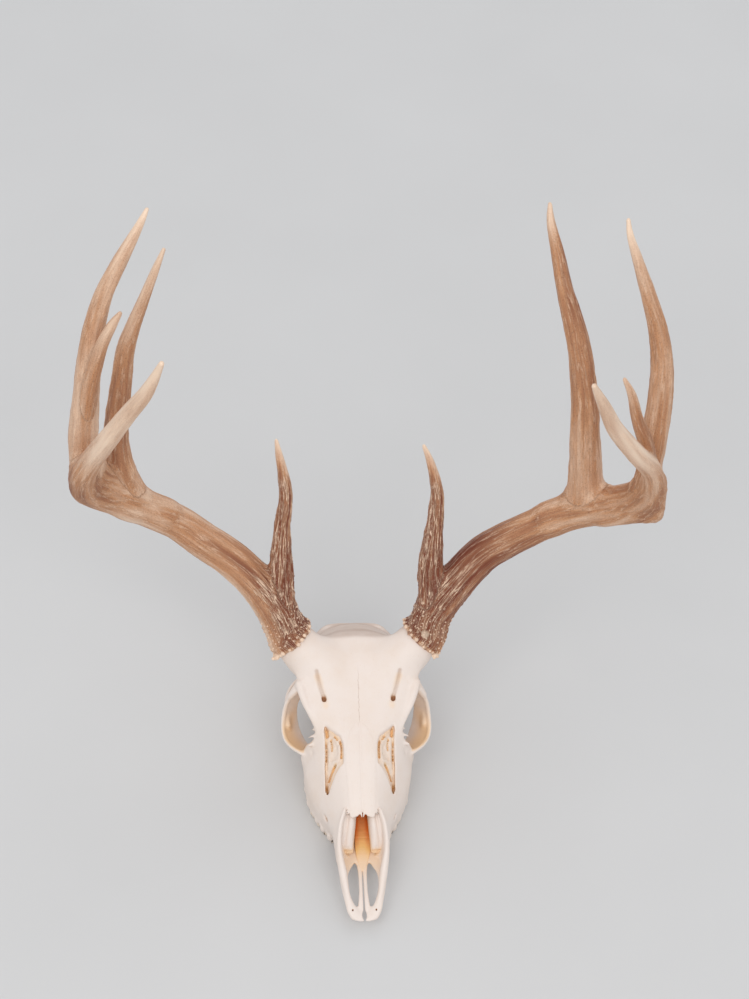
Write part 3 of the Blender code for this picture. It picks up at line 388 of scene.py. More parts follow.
Shape = namedtuple("Shape", "low high distance")


def in_frame(points):
    """Points of the skull's own axes, in millimetres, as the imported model's metres."""
    return (np.array(points, np.float64) - (0, ORIGIN_BEHIND_NOSE, 0)) * MM


def curve_point(a, b, c, d, t):
    """The point at t between b and c on the smooth curve through four points."""
    return tuple(
        0.5 * (2 * q + (r - p) * t + (2 * p - 5 * q + 4 * r - s) * t * t
               + (3 * q - p - 3 * r + s) * t * t * t)
        for p, q, r, s in zip(a, b, c, d)
    )


def smooth_path(points, step):
    """Points about step apart on the smooth curve through the given ones, of any number of values."""
    ends = [points[0]] + list(points) + [points[-1]]
    found = [tuple(points[0])]
    for a, b, c, d in zip(ends, ends[1:], ends[2:], ends[3:]):
        parts = max(1, round(math.dist(b[:3], c[:3]) / step))
        found += [curve_point(a, b, c, d, part / parts) for part in range(1, parts + 1)]
    return found


def smooth_min(a, b, blend):
    """The smaller value, rounded over a width of blend where the two are close."""
    gap = np.maximum(blend - np.abs(a - b), 0.0)
    return np.minimum(a, b) - gap * gap * (0.25 / blend)


def smooth_step(low, high, value):
    """0 up to low, 1 from high on and a soft slope between them, or the reverse if low is the larger."""
    t = np.clip((value - low) / (high - low), 0.0, 1.0)
    return t * t * (3.0 - 2.0 * t)


class Noise:
    """Smooth noise from 0 to 1 on a lattice that repeats, the same on every run."""

    SIZE = 32

    def __init__(self, seed):
        self.lattice = np.random.default_rng(seed).random((self.SIZE,) * 3, np.float32)

    def at(self, points):
        """The noise at each point, with the lattice one unit apart."""
        base = np.floor(points)
        t = (points - base).astype(np.float32)
        t = t * t * (3 - 2 * t)
        near = base.astype(np.int64) % self.SIZE
        far = (near + 1) % self.SIZE
        found = 0.0
        for corner in range(8):
            picks = [(far if corner >> axis & 1 else near)[..., axis] for axis in range(3)]
            share = 1.0
            for axis in range(3):
                share = share * (t[..., axis] if corner >> axis & 1 else 1 - t[..., axis])
            found = found + share * self.lattice[picks[0], picks[1], picks[2]]
        return found


def rod(points, step=2.5):
    """A rod along the smooth curve through points of x, y, z and one or two radii.

    The first radius runs level across the rod and the second one stands over it.
    """
    path = smooth_path(points, step)
    centres = np.array([p[:3] for p in path])
    radii = np.array([(p[3], p[-1]) for p in path])
    reach = radii.max() + REACH

    def distance(x, y, z):
        found = np.full(np.broadcast(x, y, z).shape, FAR, np.float32)
        for i in range(len(centres) - 1):
            along = centres[i + 1] - centres[i]
            length = max(np.linalg.norm(along), 1e-6)
            unit = along / length
            across = np.cross(unit, (0, 0, 1))
            if np.linalg.norm(across) < 0.2:
                across = np.cross(unit, (0, 1, 0))
            across = across / np.linalg.norm(across)
            over = np.cross(across, unit)
            near = np.minimum(centres[i], centres[i + 1]) - reach
            far = np.maximum(centres[i], centres[i + 1]) + reach
            cuts = [slice(*np.searchsorted(axis.ravel(), ends))
                    for axis, ends in zip((x, y, z), zip(near, far))]
            if any(cut.start >= cut.stop for cut in cuts):
                continue
            px = x[cuts[0]] - np.float32(centres[i][0])
            py = y[:, cuts[1]] - np.float32(centres[i][1])
            pz = z[:, :, cuts[2]] - np.float32(centres[i][2])
            t = np.clip((px * unit[0] + py * unit[1] + pz * unit[2]) / length, 0, 1)
            px, py, pz = (p - t * a for p, a in zip((px, py, pz), along))
            ra, rb = (radii[i][k] + (radii[i + 1][k] - radii[i][k]) * t for k in (0, 1))
            least = np.minimum(ra, rb)
            qa = (px * across[0] + py * across[1] + pz * across[2]) / ra
            qb = (px * over[0] + py * over[1] + pz * over[2]) / rb
            ql = (px * unit[0] + py * unit[1] + pz * unit[2]) / least
            size = np.sqrt(qa * qa + qb * qb + ql * ql) + 1e-6
            slope = np.sqrt((qa / ra) ** 2 + (qb / rb) ** 2 + (ql / least) ** 2) + 1e-6
            place = tuple(cuts)
            found[place] = np.minimum(found[place], (size - 1) * size / slope)
        return found

    return Shape(centres.min(0) - reach, centres.max(0) + reach, distance)


def lump(centre, radii, turn=0.0):
    """An ellipsoid, turned about the up axis by an angle in degrees."""
    cos, sin = math.cos(math.radians(turn)), math.sin(math.radians(turn))
    reach = max(radii) + REACH

    def distance(x, y, z):
        dx, dy, dz = x - centre[0], y - centre[1], z - centre[2]
        u = (dx * cos + dy * sin) / radii[0]
        v = (dy * cos - dx * sin) / radii[1]
        w = dz / radii[2]
        size = np.sqrt(u * u + v * v + w * w) + 1e-6
        slope = np.sqrt((u / radii[0]) ** 2 + (v / radii[1]) ** 2 + (w / radii[2]) ** 2) + 1e-6
        return ((size - 1) * size / slope).astype(np.float32)

    return Shape(np.array(centre) - reach, np.array(centre) + reach, distance)


def ribbon(front, back, radius):
    """A curved sheet between two edges, point for point, with rounded rims."""
    pairs = smooth_path([(*a, *b) for a, b in zip(front, back)], 1.6)
    strands = []
    for pair in pairs:
        strands.append(rod([(*pair[:3], radius), (*pair[3:], radius)], step=100.0))
    low = np.min([strand.low for strand in strands], axis=0)
    high = np.max([strand.high for strand in strands], axis=0)

    def distance(x, y, z):
        found = strands[0].distance(x, y, z)
        for strand in strands[1:]:
            np.minimum(found, strand.distance(x, y, z), out=found)
        return found

    return Shape(low, high, distance)


def passage(stations):
    """A tunnel along y through stations of y, half width, floor and roof, with rounded corners."""
    table = np.array(stations, float)

    def distance(x, y, z):
        line = y.ravel()
        half, floor, roof = (np.interp(line, table[:, 0], table[:, k])[None, :, None] for k in (1, 2, 3))
        middle, reach = (roof + floor) / 2, (roof - floor) / 2
        power = 10 / 3
        size = ((np.abs(x) / half) ** power + (np.abs(z - middle) / reach) ** power) ** (1 / power)
        inside = (size - 1) * np.minimum(half, reach)
        ends = np.maximum(table[0, 0] - y, y - table[-1, 0])
        return np.maximum(inside, ends).astype(np.float32)

    low = (-table[:, 1].max() - REACH, table[0, 0] - REACH, table[:, 2].min() - REACH)
    high = (table[:, 1].max() + REACH, table[-1, 0] + REACH, table[:, 3].max() + REACH)
    return Shape(np.array(low), np.array(high), distance)


def outline_distance(u, v, loop):
    """Distance to a closed outline, negative inside, for arrays of u and v."""
    nearest = np.full(np.broadcast(u, v).shape, FAR * FAR, np.float32)
    inside = np.zeros(nearest.shape, bool)
    for (au, av), (bu, bv) in zip(loop, loop[1:] + loop[:1]):
        du, dv = bu - au, bv - av
        pu, pv = u - au, v - av
        t = np.clip((pu * du + pv * dv) / max(du * du + dv * dv, 1e-9), 0, 1)
        np.minimum(nearest, (pu - t * du) ** 2 + (pv - t * dv) ** 2, out=nearest)
        if av != bv:
            inside ^= ((v >= av) != (v >= bv)) & (u < au + (v - av) * du / dv)
    return np.where(inside, -1, 1) * np.sqrt(nearest)


class Field:
    """Distances to a surface on a regular grid, negative inside it."""

    def __init__(self, low, high, step):
        self.step = step
        self.low = np.array(low, float)
        counts = np.ceil((np.array(high, float) - self.low) / step).astype(int) + 1
        self.axes = [(start + step * np.arange(n)).astype(np.float32)
                     for start, n in zip(self.low, counts)]
        self.values = np.full(counts, FAR, np.float32)

    def grid(self):
        """The x, y and z of the grid's points, ready to be combined."""
        x, y, z = self.axes
        return x[:, None, None], y[None, :, None], z[None, None, :]

    def window(self, low, high):
        """The part of the grid inside a box: its place in the values, and its x, y and z."""
        cuts = [slice(*np.searchsorted(axis, ends)) for axis, ends in zip(self.axes, zip(low, high))]
        x, y, z = self.grid()
        return tuple(cuts), (x[cuts[0]], y[:, cuts[1]], z[:, :, cuts[2]])

    def add(self, shape, blend):
        """Joins the shape on, with a fillet about as wide as blend."""
        cuts, coords = self.window(shape.low, shape.high)
        self.values[cuts] = smooth_min(self.values[cuts], shape.distance(*coords), blend)

    def carve(self, shape, blend):
        """Takes the shape out, with edges rounded by blend."""
        cuts, coords = self.window(shape.low, shape.high)
        self.values[cuts] = -smooth_min(-self.values[cuts], shape.distance(*coords), blend)

    def mirrored(self):
        """The whole field of a half that starts at the midline."""
        whole = copy.copy(self)
        whole.axes = [np.concatenate([-self.axes[0][:0:-1], self.axes[0]])] + self.axes[1:]
        whole.low = np.array([axis[0] for axis in whole.axes], float)
        whole.values = np.concatenate([self.values[:0:-1], self.values])
        return whole

    def at(self, points):
        """Values between the grid's points."""
        place = (points - self.low) / self.step
        top = np.array(self.values.shape) - 2
        base = np.clip(np.floor(place).astype(int), 0, top)
        t = np.clip(place - base, 0, 1)
        found = 0.0
        for corner in range(8):
            bits = [corner >> axis & 1 for axis in range(3)]
            share = np.prod([t[:, k] if bit else 1 - t[:, k] for k, bit in enumerate(bits)], axis=0)
            found = found + share * self.values[tuple(base[:, k] + bit for k, bit in enumerate(bits))]
        return found

    def surface(self):
        """Points and four-sided faces of the surface, one point in each cell that it crosses."""
        values = self.values
        inside = values < 0
        count = sum(inside[a:values.shape[0] - 1 + a, b:values.shape[1] - 1 + b, c:values.shape[2] - 1 + c]
                    .astype(np.int8) for a in (0, 1) for b in (0, 1) for c in (0, 1))
        cells = np.argwhere((count > 0) & (count < 8))
        number = np.full(count.shape, -1, np.int32)
        number[tuple(cells.T)] = np.arange(len(cells))
        total = np.zeros((len(cells), 3))
        crossings = np.zeros(len(cells))
        corners = [np.array((a, b, c)) for a in (0, 1) for b in (0, 1) for c in (0, 1)]
        for start in corners:
            for axis in range(3):
                if start[axis]:
                    continue
                end = start.copy()
                end[axis] = 1
                va = values[tuple((cells + start).T)]
                vb = values[tuple((cells + end).T)]
                crossed = (va < 0) != (vb < 0)
                t = va / np.where(crossed, va - vb, 1)
                spot = start + t[:, None] * (end - start)
                total += np.where(crossed[:, None], spot, 0)
                crossings += crossed
        points = self.low + self.step * (cells + total / crossings[:, None])
        faces = []
        for axis in range(3):
            side, up = (axis + 1) % 3, (axis + 2) % 3
            a = np.moveaxis(inside, axis, 0)
            edges = np.argwhere((a[:-1] != a[1:])[:, 1:-1, 1:-1])
            others = [k for k in range(3) if k != axis]
            place = np.empty((len(edges), 3), int)
            place[:, axis] = edges[:, 0]
            place[:, others[0]] = edges[:, 1] + 1
            place[:, others[1]] = edges[:, 2] + 1
            quad = []
            for du, dv in ((-1, -1), (0, -1), (0, 0), (-1, 0)):
                spot = place.copy()
                spot[:, side] += du
                spot[:, up] += dv
                quad.append(number[tuple(spot.T)])
            quad = np.stack(quad, axis=1)
            starts_inside = inside[tuple(place.T)]
            faces.append(np.where(starts_inside[:, None], quad, quad[:, ::-1]))
        return points, np.concatenate(faces)


def skull_body(grid):
    """Distances to the skull's main form, from its sections."""
    x, y, z = grid.grid()
    stations = sorted(SKULL_SECTIONS)
    found = np.empty(grid.values.shape, np.float32)
    flat_x, flat_z = x[:, 0], z[0]
    places = list(range(0, len(grid.axes[1]), 2)) + [len(grid.axes[1]) - 1]
    slices = []
    for k in places:
        line = smooth_path([(a, 0, b) for a, b in half_outline(grid.axes[1][k])], 4.0)
        loop = [(a, b) for a, _, b in line] + [(-a, b) for a, _, b in line[-2:0:-1]]
        slices.append(outline_distance(flat_x, flat_z, loop))
    for (start, near), (end, far) in zip(zip(places, slices), list(zip(places, slices))[1:]):
        for k in range(start, end + 1):
            t = (k - start) / max(end - start, 1)
            found[:, k] = near * (1 - t) + far * t
    beyond = np.maximum(stations[0] - y, y - stations[-1])
    return np.maximum(found, beyond)


def half_outline(y):
    """The half outline at y, smoothly between the sections on either side."""
    stations = sorted(SKULL_SECTIONS)
    after = max(1, min(len(stations) - 1, next((i for i, s in enumerate(stations) if s >= y), 99)))
    picks = [stations[max(0, min(len(stations) - 1, after + k))] for k in (-2, -1, 0, 1)]
    t = max(0.0, min(1.0, (y - picks[1]) / (picks[2] - picks[1])))
    return [curve_point(*corners, t) for corners in zip(*(SKULL_SECTIONS[pick] for pick in picks))]


def eased(points, faces, rounds):
    """The points after rounds of smoothing, each moved half way to the middle of its neighbours."""
    a = faces.ravel()
    b = np.roll(faces, -1, axis=1).ravel()
    start, end = np.concatenate([a, b]), np.concatenate([b, a])
    count = np.bincount(start, minlength=len(points))[:, None]
    for _ in range(rounds):
        total = np.stack([np.bincount(start, points[end, k], len(points)) for k in range(3)], axis=1)
        points = 0.5 * points + 0.5 * total / count
    return points


def new_piece(name, points, faces, material):
    """An object on the part's body, from points in the skull's own axes and four-sided faces."""
    mesh = bpy.data.meshes.new(name)
    mesh.vertices.add(len(points))
    mesh.vertices.foreach_set("co", in_frame(points).astype(np.float32).ravel())
    mesh.loops.add(faces.size)
    mesh.loops.foreach_set("vertex_index", faces.astype(np.int32).ravel())
    mesh.polygons.add(len(faces))
    mesh.polygons.foreach_set("loop_start", np.arange(len(faces), dtype=np.int32) * faces.shape[1])
    mesh.update(calc_edges=True)
    mesh.validate()
    mesh.shade_smooth()
    mesh.materials.append(material)
    piece = bpy.data.objects.new(name, mesh)
    bpy.context.scene.collection.objects.link(piece)
    return piece


def settle(piece):
    """Replaces the piece's mesh with what its modifiers make of it, and removes them."""
    graph = bpy.context.evaluated_depsgraph_get()
    mesh = bpy.data.meshes.new_from_object(piece.evaluated_get(graph))
    piece.modifiers.clear()
    old = piece.data
    piece.data = mesh
    bpy.data.meshes.remove(old)


def thin_to(piece, triangles):
    """Brings the piece's mesh down to this many triangles, if it has more."""
    now = sum(len(face.vertices) - 2 for face in piece.data.polygons)
    if now > triangles:
        fewer = piece.modifiers.new("Thin", "DECIMATE")
        fewer.ratio = triangles / now
        settle(piece)
        piece.data.shade_smooth()


def piece_from(field, name, material, triangles):
    """A piece with the surface of the field."""
    points, faces = field.surface()
    piece = new_piece(name, eased(points, faces, 1), faces, material)
    thin_to(piece, triangles)
    return piece


def both_sides(field, name, material, triangles=SMALL_BONE_TRIANGLES):
    """A piece with the surface of the field, and its mirror image on the other side of the skull.

    Each comes with its side, and with its points and normals as they are on the animal's left.
    Nothing reaches under the surface that the teeth stand on.
    """
    points, faces = field.surface()
    points = eased(points, faces, 1)
    points[:, 2] = np.maximum(points[:, 2], 0)
    for side, sign in SIDES:
        mirror = (sign, 1, 1)
        piece = new_piece(f"{name}_{side}", points * mirror, faces[:, ::sign], material)
        thin_to(piece, triangles)
        spots, normals = places_of(piece)
        yield side, piece, spots * mirror, normals * mirror


def places_of(piece):
    """The piece's points in the skull's own axes, and its normals."""
    mesh = piece.data
    points = np.empty(len(mesh.vertices) * 3, np.float32)
    mesh.vertices.foreach_get("co", points)
    normals = np.empty(len(mesh.vertices) * 3, np.float32)
    mesh.vertex_normals.foreach_get("vector", normals)
    points = points.reshape(-1, 3).astype(np.float64) / MM
    return points + (0, ORIGIN_BEHIND_NOSE, 0), normals.reshape(-1, 3).astype(np.float64)


def move_to(piece, points):
    """Moves the piece's points to these places in the skull's own axes."""
    piece.data.vertices.foreach_set("co", in_frame(points).astype(np.float32).ravel())
    piece.data.update()


def paint(piece, name, values):
    """Keeps one number, or one vector, at every point of the piece under a name."""
    values = np.asarray(values, np.float32)
    if values.ndim == 1:
        piece.data.attributes.new(name, "FLOAT", "POINT").data.foreach_set("value", values)
    else:
        piece.data.attributes.new(name, "FLOAT_VECTOR", "POINT").data.foreach_set("vector", values.ravel())


def keep(piece, slot, *nodes):
    """Rides the piece on the part's body, in place of its nodes."""
    if nodes:
        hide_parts(*nodes)
    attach(piece, "root")


def enclosed(field, points, normals, reaches=(2.0, 4.0, 7.0, 11.0)):
    """How closed in each point is, 0 in the open to 1 deep in a hollow."""
    open_space = 0.0
    for reach in reaches:
        open_space = open_space + np.clip(field.at(points + normals * reach) / reach, 0, 1)
    return 1 - open_space / len(reaches)


# Bone


def cranium_body():
    """Half of the skull's outer form, before anything is opened in it."""
    half = Field(*CRANIUM_BOX, CRANIUM_STEP)
    half.values = skull_body(half)
    half.add(rod(PEDICLE), 9)
    for centre, radii, turn in (EAR_BULB, EAR_TUBE, CONDYLE, TOOTH_RIDGE_END):
        half.add(lump(centre, radii, turn), 4)
    half.add(rod(CREST), 4)
    half.add(rod(NUCHAL_CREST), 3)
    half.add(rod(PROCESS_BEHIND_EAR), 3)
    for _, x, y, width, length, _, lobes in CHEEK_TEETH:
        for lobe in range(lobes):
            step = (lobe - (lobes - 1) / 2) * length / lobes
            half.add(lump((x + width * 0.4, y + step, 13), (4.0, length / lobes * 0.42, 7)), 1.4)
        half.add(lump((x + width * 0.25, y - length / 2, 8.2), (3.4, 3.0, 5.8)), 2)
    return half


def open_skull(half):
    """Takes the hollows out of the half skull."""
    outer = half.values.copy()
    for centre, radii, turn in (ORBIT_HOLLOW, BRAIN_HOLLOW, THROAT, BROW_FORAMEN,
                                CHEEK_FORAMEN, TEAR_PIT, TEAR_DUCT):
        half.carve(lump(centre, radii, turn), 1.2)
    half.carve(rod(BROW_GROOVE), 1.5)
    half.carve(passage(NASAL_PASSAGE), 1.2)
    half.carve(rod(FORAMEN_MAGNUM), 1.2)
    cuts, (x, y, _) = half.window(*FACE_OPENING_BOX)
    outline = outline_distance(x[:, :, 0], y[:, :, 0], FACE_OPENING)[:, :, None]
    opening = np.maximum(outline, -outer[cuts] - FACE_OPENING_DEPTH)
    half.values[cuts] = -smooth_min(-half.values[cuts], opening.astype(np.float32), 1.0)


def orbit_share(points, normals):
    """How far each point of the skull belongs to the inner side of an orbit."""
    side = np.where(points[:, :1] < 0, (-1, 1, 1), (1, 1, 1))
    to_eye = np.array(ORBIT_HOLLOW[0]) - points * side
    reach = np.linalg.norm(to_eye, axis=1)
    inward = (to_eye * normals * side).sum(1) / np.maximum(reach, 1e-6)
    return smooth_step(0.15, 0.6, inward) * smooth_step(34, 24, reach)


def cranium_amber(points, normals):
    """How far fat has tinted each point of the skull: the orbits, the brow grooves and the nose."""
    side = np.abs(points)
    orbit = orbit_share(points, normals) * (0.07 + 0.2 * smooth_step(66, 48, side[:, 2]))
    nose = 0.2 * smooth_step(19, 16, side[:, 0]) * smooth_step(110, 95, side[:, 1])
    nose = nose * smooth_step(0, 0.5, normals[:, 2]) * smooth_step(46, 36, side[:, 2])
    brow = 0.12 * smooth_step(4.4, 1.2, from_path(side, BROW_SHEEN))
    return np.maximum(np.maximum(orbit, brow), nose)


def groove_share(points):
    """How far each point of the skull lies in the groove of a brow, and in the hole at its end."""
    side = np.abs(points)
    x, y, _ = BROW_FORAMEN[0]
    hole = smooth_step(4.4, 2.2, np.hypot(side[:, 0] - x, side[:, 1] - y))
    hole = hole * smooth_step(95.2, 93.2, side[:, 2]) * smooth_step(84, 86, side[:, 2])
    return smooth_step(2.4, 1.0, from_path(side, BROW_GROOVE)), hole


def from_path(points, path):
    """Distance of each point from the smooth curve through the given ones."""
    found = np.full(len(points), FAR)
    for spot in smooth_path([place[:3] for place in path], 1.5):
        found = np.minimum(found, np.linalg.norm(points - spot, axis=1))
    return found


def back_stain(points, normals):
    """Painted grey shade on the backward-facing back of the head, most of all in the middle."""
    behind = smooth_step(-0.15, 0.3, normals[:, 1]) * smooth_step(218, 225, points[:, 1])
    streaks = np.max([smooth_step(end, full, np.abs(points[:, 2] - height))
                      for height, end, full in SHADE_BANDS], axis=0)
    middle = smooth_step(27, 15, np.abs(points[:, 0]))
    return behind * smooth_step(52, 66, points[:, 2]) * (0.6 + 0.3 * streaks + 0.1 * middle)


class DEERSKULL_OT_cranium(bpy.types.Operator):
    """Makes the braincase, brow, upper jaw, palate, orbits and arches as one bone"""

    bl_idname = "deerskull.cranium"
    bl_label = "Cranium"

    def execute(self, context):
        half = cranium_body()
        open_skull(half)
        half.add(ribbon(ORBIT_RIM, ORBIT_WALL_BACK, 1.2), 2.0)
        half.add(rod([(*point, 1.7) for point in ORBIT_RIM]), 1.5)
        for points in (FRONTAL_EDGE, BROW_PROCESS, ZYGOMATIC_ARCH, PTERYGOID_PLATE, SEPTUM):
            half.add(rod(points), 2.5)
        for points in ORBIT_SPIKES:
            half.add(rod(points), 1.0)
        whole = half.mirrored()
        piece = piece_from(whole, "cranium_bone", bone_material(), CRANIUM_TRIANGLES)
        points, normals = places_of(piece)
        groove, hole = groove_share(points)
        # Painted shade where the bone is closed in, less inside the orbits, more in the brow grooves and
        # holes
        hollow = enclosed(whole, points, normals) * (1 - 0.4 * orbit_share(points, normals))
        paint(piece, "hollow", hollow + 0.34 * groove + 0.45 * hole)
        paint(piece, "amber", cranium_amber(points, normals))
        # Painted grey shade in the brow grooves and their holes, and on the back of the head
        grey = np.maximum(0.75 * groove, 0.5 * hole)
        paint(piece, "stain", np.maximum(back_stain(points, normals), grey))
        keep(piece, "bone", "cranium")
        return {"FINISHED"}


class DEERSKULL_OT_nasal_bones(bpy.types.Operator):
    """Makes the two nasal bones that roof the nose, with their notched tips"""

    bl_idname = "deerskull.nasal_bones"
    bl_label = "Nasal bones"

    def execute(self, context):
        grid = Field(*NASAL_BOX, NASAL_STEP)
        body = skull_body(grid)
        x, y, _ = grid.grid()
        outline = outline_distance(x[:, :, 0], y[:, :, 0], NASAL_OUTLINE)[:, :, None]
        thickness = context.scene.deerskull_bone.nasal_thickness / MM
        plate = np.abs(body - NASAL_LIFT + thickness / 2) - thickness / 2
        grid.values = -smooth_min(-np.broadcast_to(outline, plate.shape), -plate, 0.9)
        for side, piece, _, normals in both_sides(grid, "nasal_bone", bone_material()):
            # Painted shade on the undersides of the nasal bones
            paint(piece, "hollow", smooth_step(0.2, -0.8, normals[:, 2]) * 0.8)
            keep(piece, "bone", "nasal_" + side)
        return {"FINISHED"}


class DEERSKULL_OT_premaxillae(bpy.types.Operator):
    """Makes the two bones at the tip of the nose, with the long slits between their bars"""

    bl_idname = "deerskull.premaxillae"
    bl_label = "Premaxillae"

    def execute(self, context):
        grid = Field(*PREMAXILLA_BOX, PREMAXILLA_STEP)
        x, y, z = grid.grid()
        plan = outline_distance(x[:, :, 0], y[:, :, 0], PREMAXILLA_PLATE)
        plan = np.maximum(plan, -outline_distance(x[:, :, 0], y[:, :, 0], PREMAXILLA_SLIT))[:, :, None]
        middle = np.interp(y, *zip(*PLATE_HEIGHTS)) + 0.011 * x * x
        plate = np.abs(z - middle) - context.scene.deerskull_bone.palate_thickness / MM / 2
        grid.values = -smooth_min(-np.broadcast_to(plan, plate.shape).astype(np.float32),
                                  -plate.astype(np.float32), 1.6)
        grid.add(rod(PREMAXILLA_BAR), 2.5)
        grid.carve(lump(*PREMAXILLA_PORE), 0.5)
        gap = np.where(y < PREMAXILLA_PART, 0.3, 0.02)
        grid.values = np.maximum(grid.values, gap - x)
        for side, piece, spots, normals in both_sides(grid, "premaxilla_bone", bone_material(),
                                                      PREMAXILLA_TRIANGLES):
            # Painted shade where the bone is closed in
            paint(piece, "hollow", enclosed(grid, spots, normals, (1.5, 3, 5)))
            inner = smooth_step(17.5, 14, spots[:, 0]) * smooth_step(26, 22, spots[:, 2])
            paint(piece, "amber", 0.16 * smooth_step(34, 52, spots[:, 1]) * inner)
            keep(piece, "bone", "premaxilla_" + side)
        return {"FINISHED"}


class DEERSKULL_OT_inner_nose(bpy.types.Operator):
    """Makes the amber trough of the vomer, the scroll bones beside it and the lace in the face openings"""

    bl_idname = "deerskull.inner_nose"
    bl_label = "Inner nose"

    def execute(self, context):
        grid = Field(*VOMER_BOX, PREMAXILLA_STEP)
        grid.add(ribbon(*VOMER_EDGES, 1.0), 1)
        piece = piece_from(grid, "vomer_bone", bone_material(), VOMER_TRIANGLES)
        points, _ = places_of(piece)
        depth = smooth_step(48, 92, points[:, 1])
        edge = smooth_step(1.5, 5, np.abs(points[:, 0] - 0.8))
        paint(piece, "amber", 0.2 + 0.66 * depth + 0.3 * depth * edge)
        keep(piece, "bone")
        grid = Field(*SCROLL_BOX, PREMAXILLA_STEP)
        grid.add(rod(SCROLL), 1)
        grid.add(rod(SCROLL_WING), 1.4)
        x, y, z = grid.grid()
        places = np.stack(np.broadcast_arrays(x, y, z), axis=-1).reshape(-1, 3)
        ragged = (Noise(SCROLL_SEED).at(places / (2.4, 5, 2.4)) - 0.5).reshape(grid.values.shape) * 3.2
        grid.values = -smooth_min(-grid.values, y - SCROLL_END - ragged, 0.8)
        _, ys, zs, *_ = zip(*SCROLL)
        for _, piece, spots, _ in both_sides(grid, "scroll_bone", bone_material()):
            # Painted shade in honey on the lower side of each scroll bone and its wing
            over = spots[:, 2] - np.interp(spots[:, 1], ys, zs)
            paint(piece, "amber", 0.26 * smooth_step(6, 1, over))
            keep(piece, "bone")
        lace = face_lace(context.scene.deerskull_bone.lace_thickness / MM)
        for _, piece, spots, _ in both_sides(lace, "face_lace", bone_material()):
            # Painted shade in honey along the lace's edges and in its pits, and painted shade over the whole
            # lace
            paint(piece, "amber", lace_amber(spots))
            paint(piece, "hollow", np.full(len(spots), 0.5))
            keep(piece, "bone")
        return {"FINISHED"}


def lace_amber(spots):
    """Painted shade in honey on the thin bone inside the face's opening, along its edges and in its pits."""
    patches = Noise(LACE_SHADE_SEED).at(spots / 5)
    amber = 0.13 * smooth_step(-3.4, -0.8, outline_distance(spots[:, 0], spots[:, 1], FACE_OPENING))
    for path, radius in LACE_PITS:
        away = from_path(spots * (1, 1, 0), [(px, py, 0) for px, py in path])
        amber = np.maximum(amber, 0.34 * smooth_step(radius + 0.9, radius - 0.4, away))
    return amber * (0.45 + patches)


def face_lace(thickness):
    """The thin bone inside the opening of the face, under the skull's own skin."""
    grid = Field(*LACE_BOX, LACE_STEP)
    body = skull_body(grid)
    x, y, _ = grid.grid()
    flat_x, flat_y = x[:, :, 0], y[:, :, 0]
    sheet = smooth_step(0.6, -1.0, outline_distance(flat_x, flat_y, LACE_SHEET))
    depth = LACE_DEPTH + (LACE_SHEET_DEPTH - LACE_DEPTH) * sheet
    for strand in LACE_STRANDS:
        for px, py, under in smooth_path(strand, 0.6):
            away = np.hypot(flat_x - px, flat_y - py)
            depth = np.minimum(depth, under + (LACE_DEPTH - under) * smooth_step(0.7, 1.9, away))
    flat_x, flat_y = np.broadcast_arrays(flat_x, flat_y)
    flat = np.stack([flat_x, flat_y, np.zeros(flat_x.shape)], axis=-1)
    for path, radius in LACE_PITS:
        away = from_path(flat.reshape(-1, 3), [(px, py, 0) for px, py in path]).reshape(flat_x.shape)
        depth = depth + 2.8 * smooth_step(radius + 0.5, radius - 0.5, away)
    depth = depth + 1.4 * (Noise(LACE_SEED).at(flat / 2.2) - 0.5)
    depth = depth[:, :, None] + thickness / 2
    edge = outline_distance(flat_x, flat_y, FACE_OPENING)[:, :, None] - 1.6
    grid.values = np.maximum(np.abs(-body - depth) - thickness / 2, edge).astype(np.float32)
    return grid


# Teeth


def tooth_field(x, y, width, length, turn, lobes):
    """One cheek tooth in its own place: lobes with ribs outside, worn flat, with a hollow in each."""
    reach = max(width, length) / 2 + 2
    grid = Field((x - reach, y - reach, -1), (x + reach, y + reach, 16), TOOTH_STEP)
    px, py, pz = grid.grid()
    cos, sin = math.cos(math.radians(turn)), math.sin(math.radians(turn))
    a = (px - x) * cos - (py - y) * sin
    b = (px - x) * sin + (py - y) * cos
    swell = np.interp(pz, [0, 3, 8.5, 15], [0.80, 0.97, 1.0, 0.82])
    found = None
    for lobe in range(lobes):
        middle = (lobe - (lobes - 1) / 2) * length / lobes
        wide = width / 2 * swell
        long = length / lobes / 2 * 1.08 * swell
        qa, qb = np.abs(a / wide), np.abs((b - middle) / long)
        size = (qa ** 2.6 + qb ** 2.6) ** (1 / 2.6)
        body = (size - 1) * np.minimum(wide, long)
        hollow_a = a - width * 0.06
        crescent = np.sqrt((hollow_a / 0.9) ** 2 + (b - middle) ** 2) - length / lobes * 0.24
        crescent = np.abs(crescent) - 0.75
        pit = np.maximum(crescent, pz - 1.7 + 0.8 * np.abs(crescent))
        body = -smooth_min(-body, pit, 0.5)
        found = body if found is None else smooth_min(found, body, 1.2)
    for lobe in range(lobes + 1):
        edge = (lobe - lobes / 2) * length / lobes * 0.92
        rib = np.sqrt((a - width / 2 * swell * 0.93) ** 2 + (b - edge) ** 2) - 1.15
        found = smooth_min(found, rib, 1.0)
    found = np.maximum(found, -pz)
    grid.values = np.maximum(found, pz - 15.2).astype(np.float32)
    return grid


class DEERSKULL_OT_cheek_teeth(bpy.types.Operator):
    """Makes the six worn cheek teeth of each side"""

    bl_idname = "deerskull.cheek_teeth"
    bl_label = "Cheek teeth"

    def execute(self, context):
        for name, *shape in CHEEK_TEETH:
            for side, piece, spots, normals in both_sides(tooth_field(*shape), name + "_crown",
                                                          enamel_material()):
                below = smooth_step(-0.3, -0.8, normals[:, 2])
                paint(piece, "worn", below * smooth_step(2.2, 0.2, spots[:, 2]))
                keep(piece, "enamel", f"{name}_{side}")
        return {"FINISHED"}


# Antlers


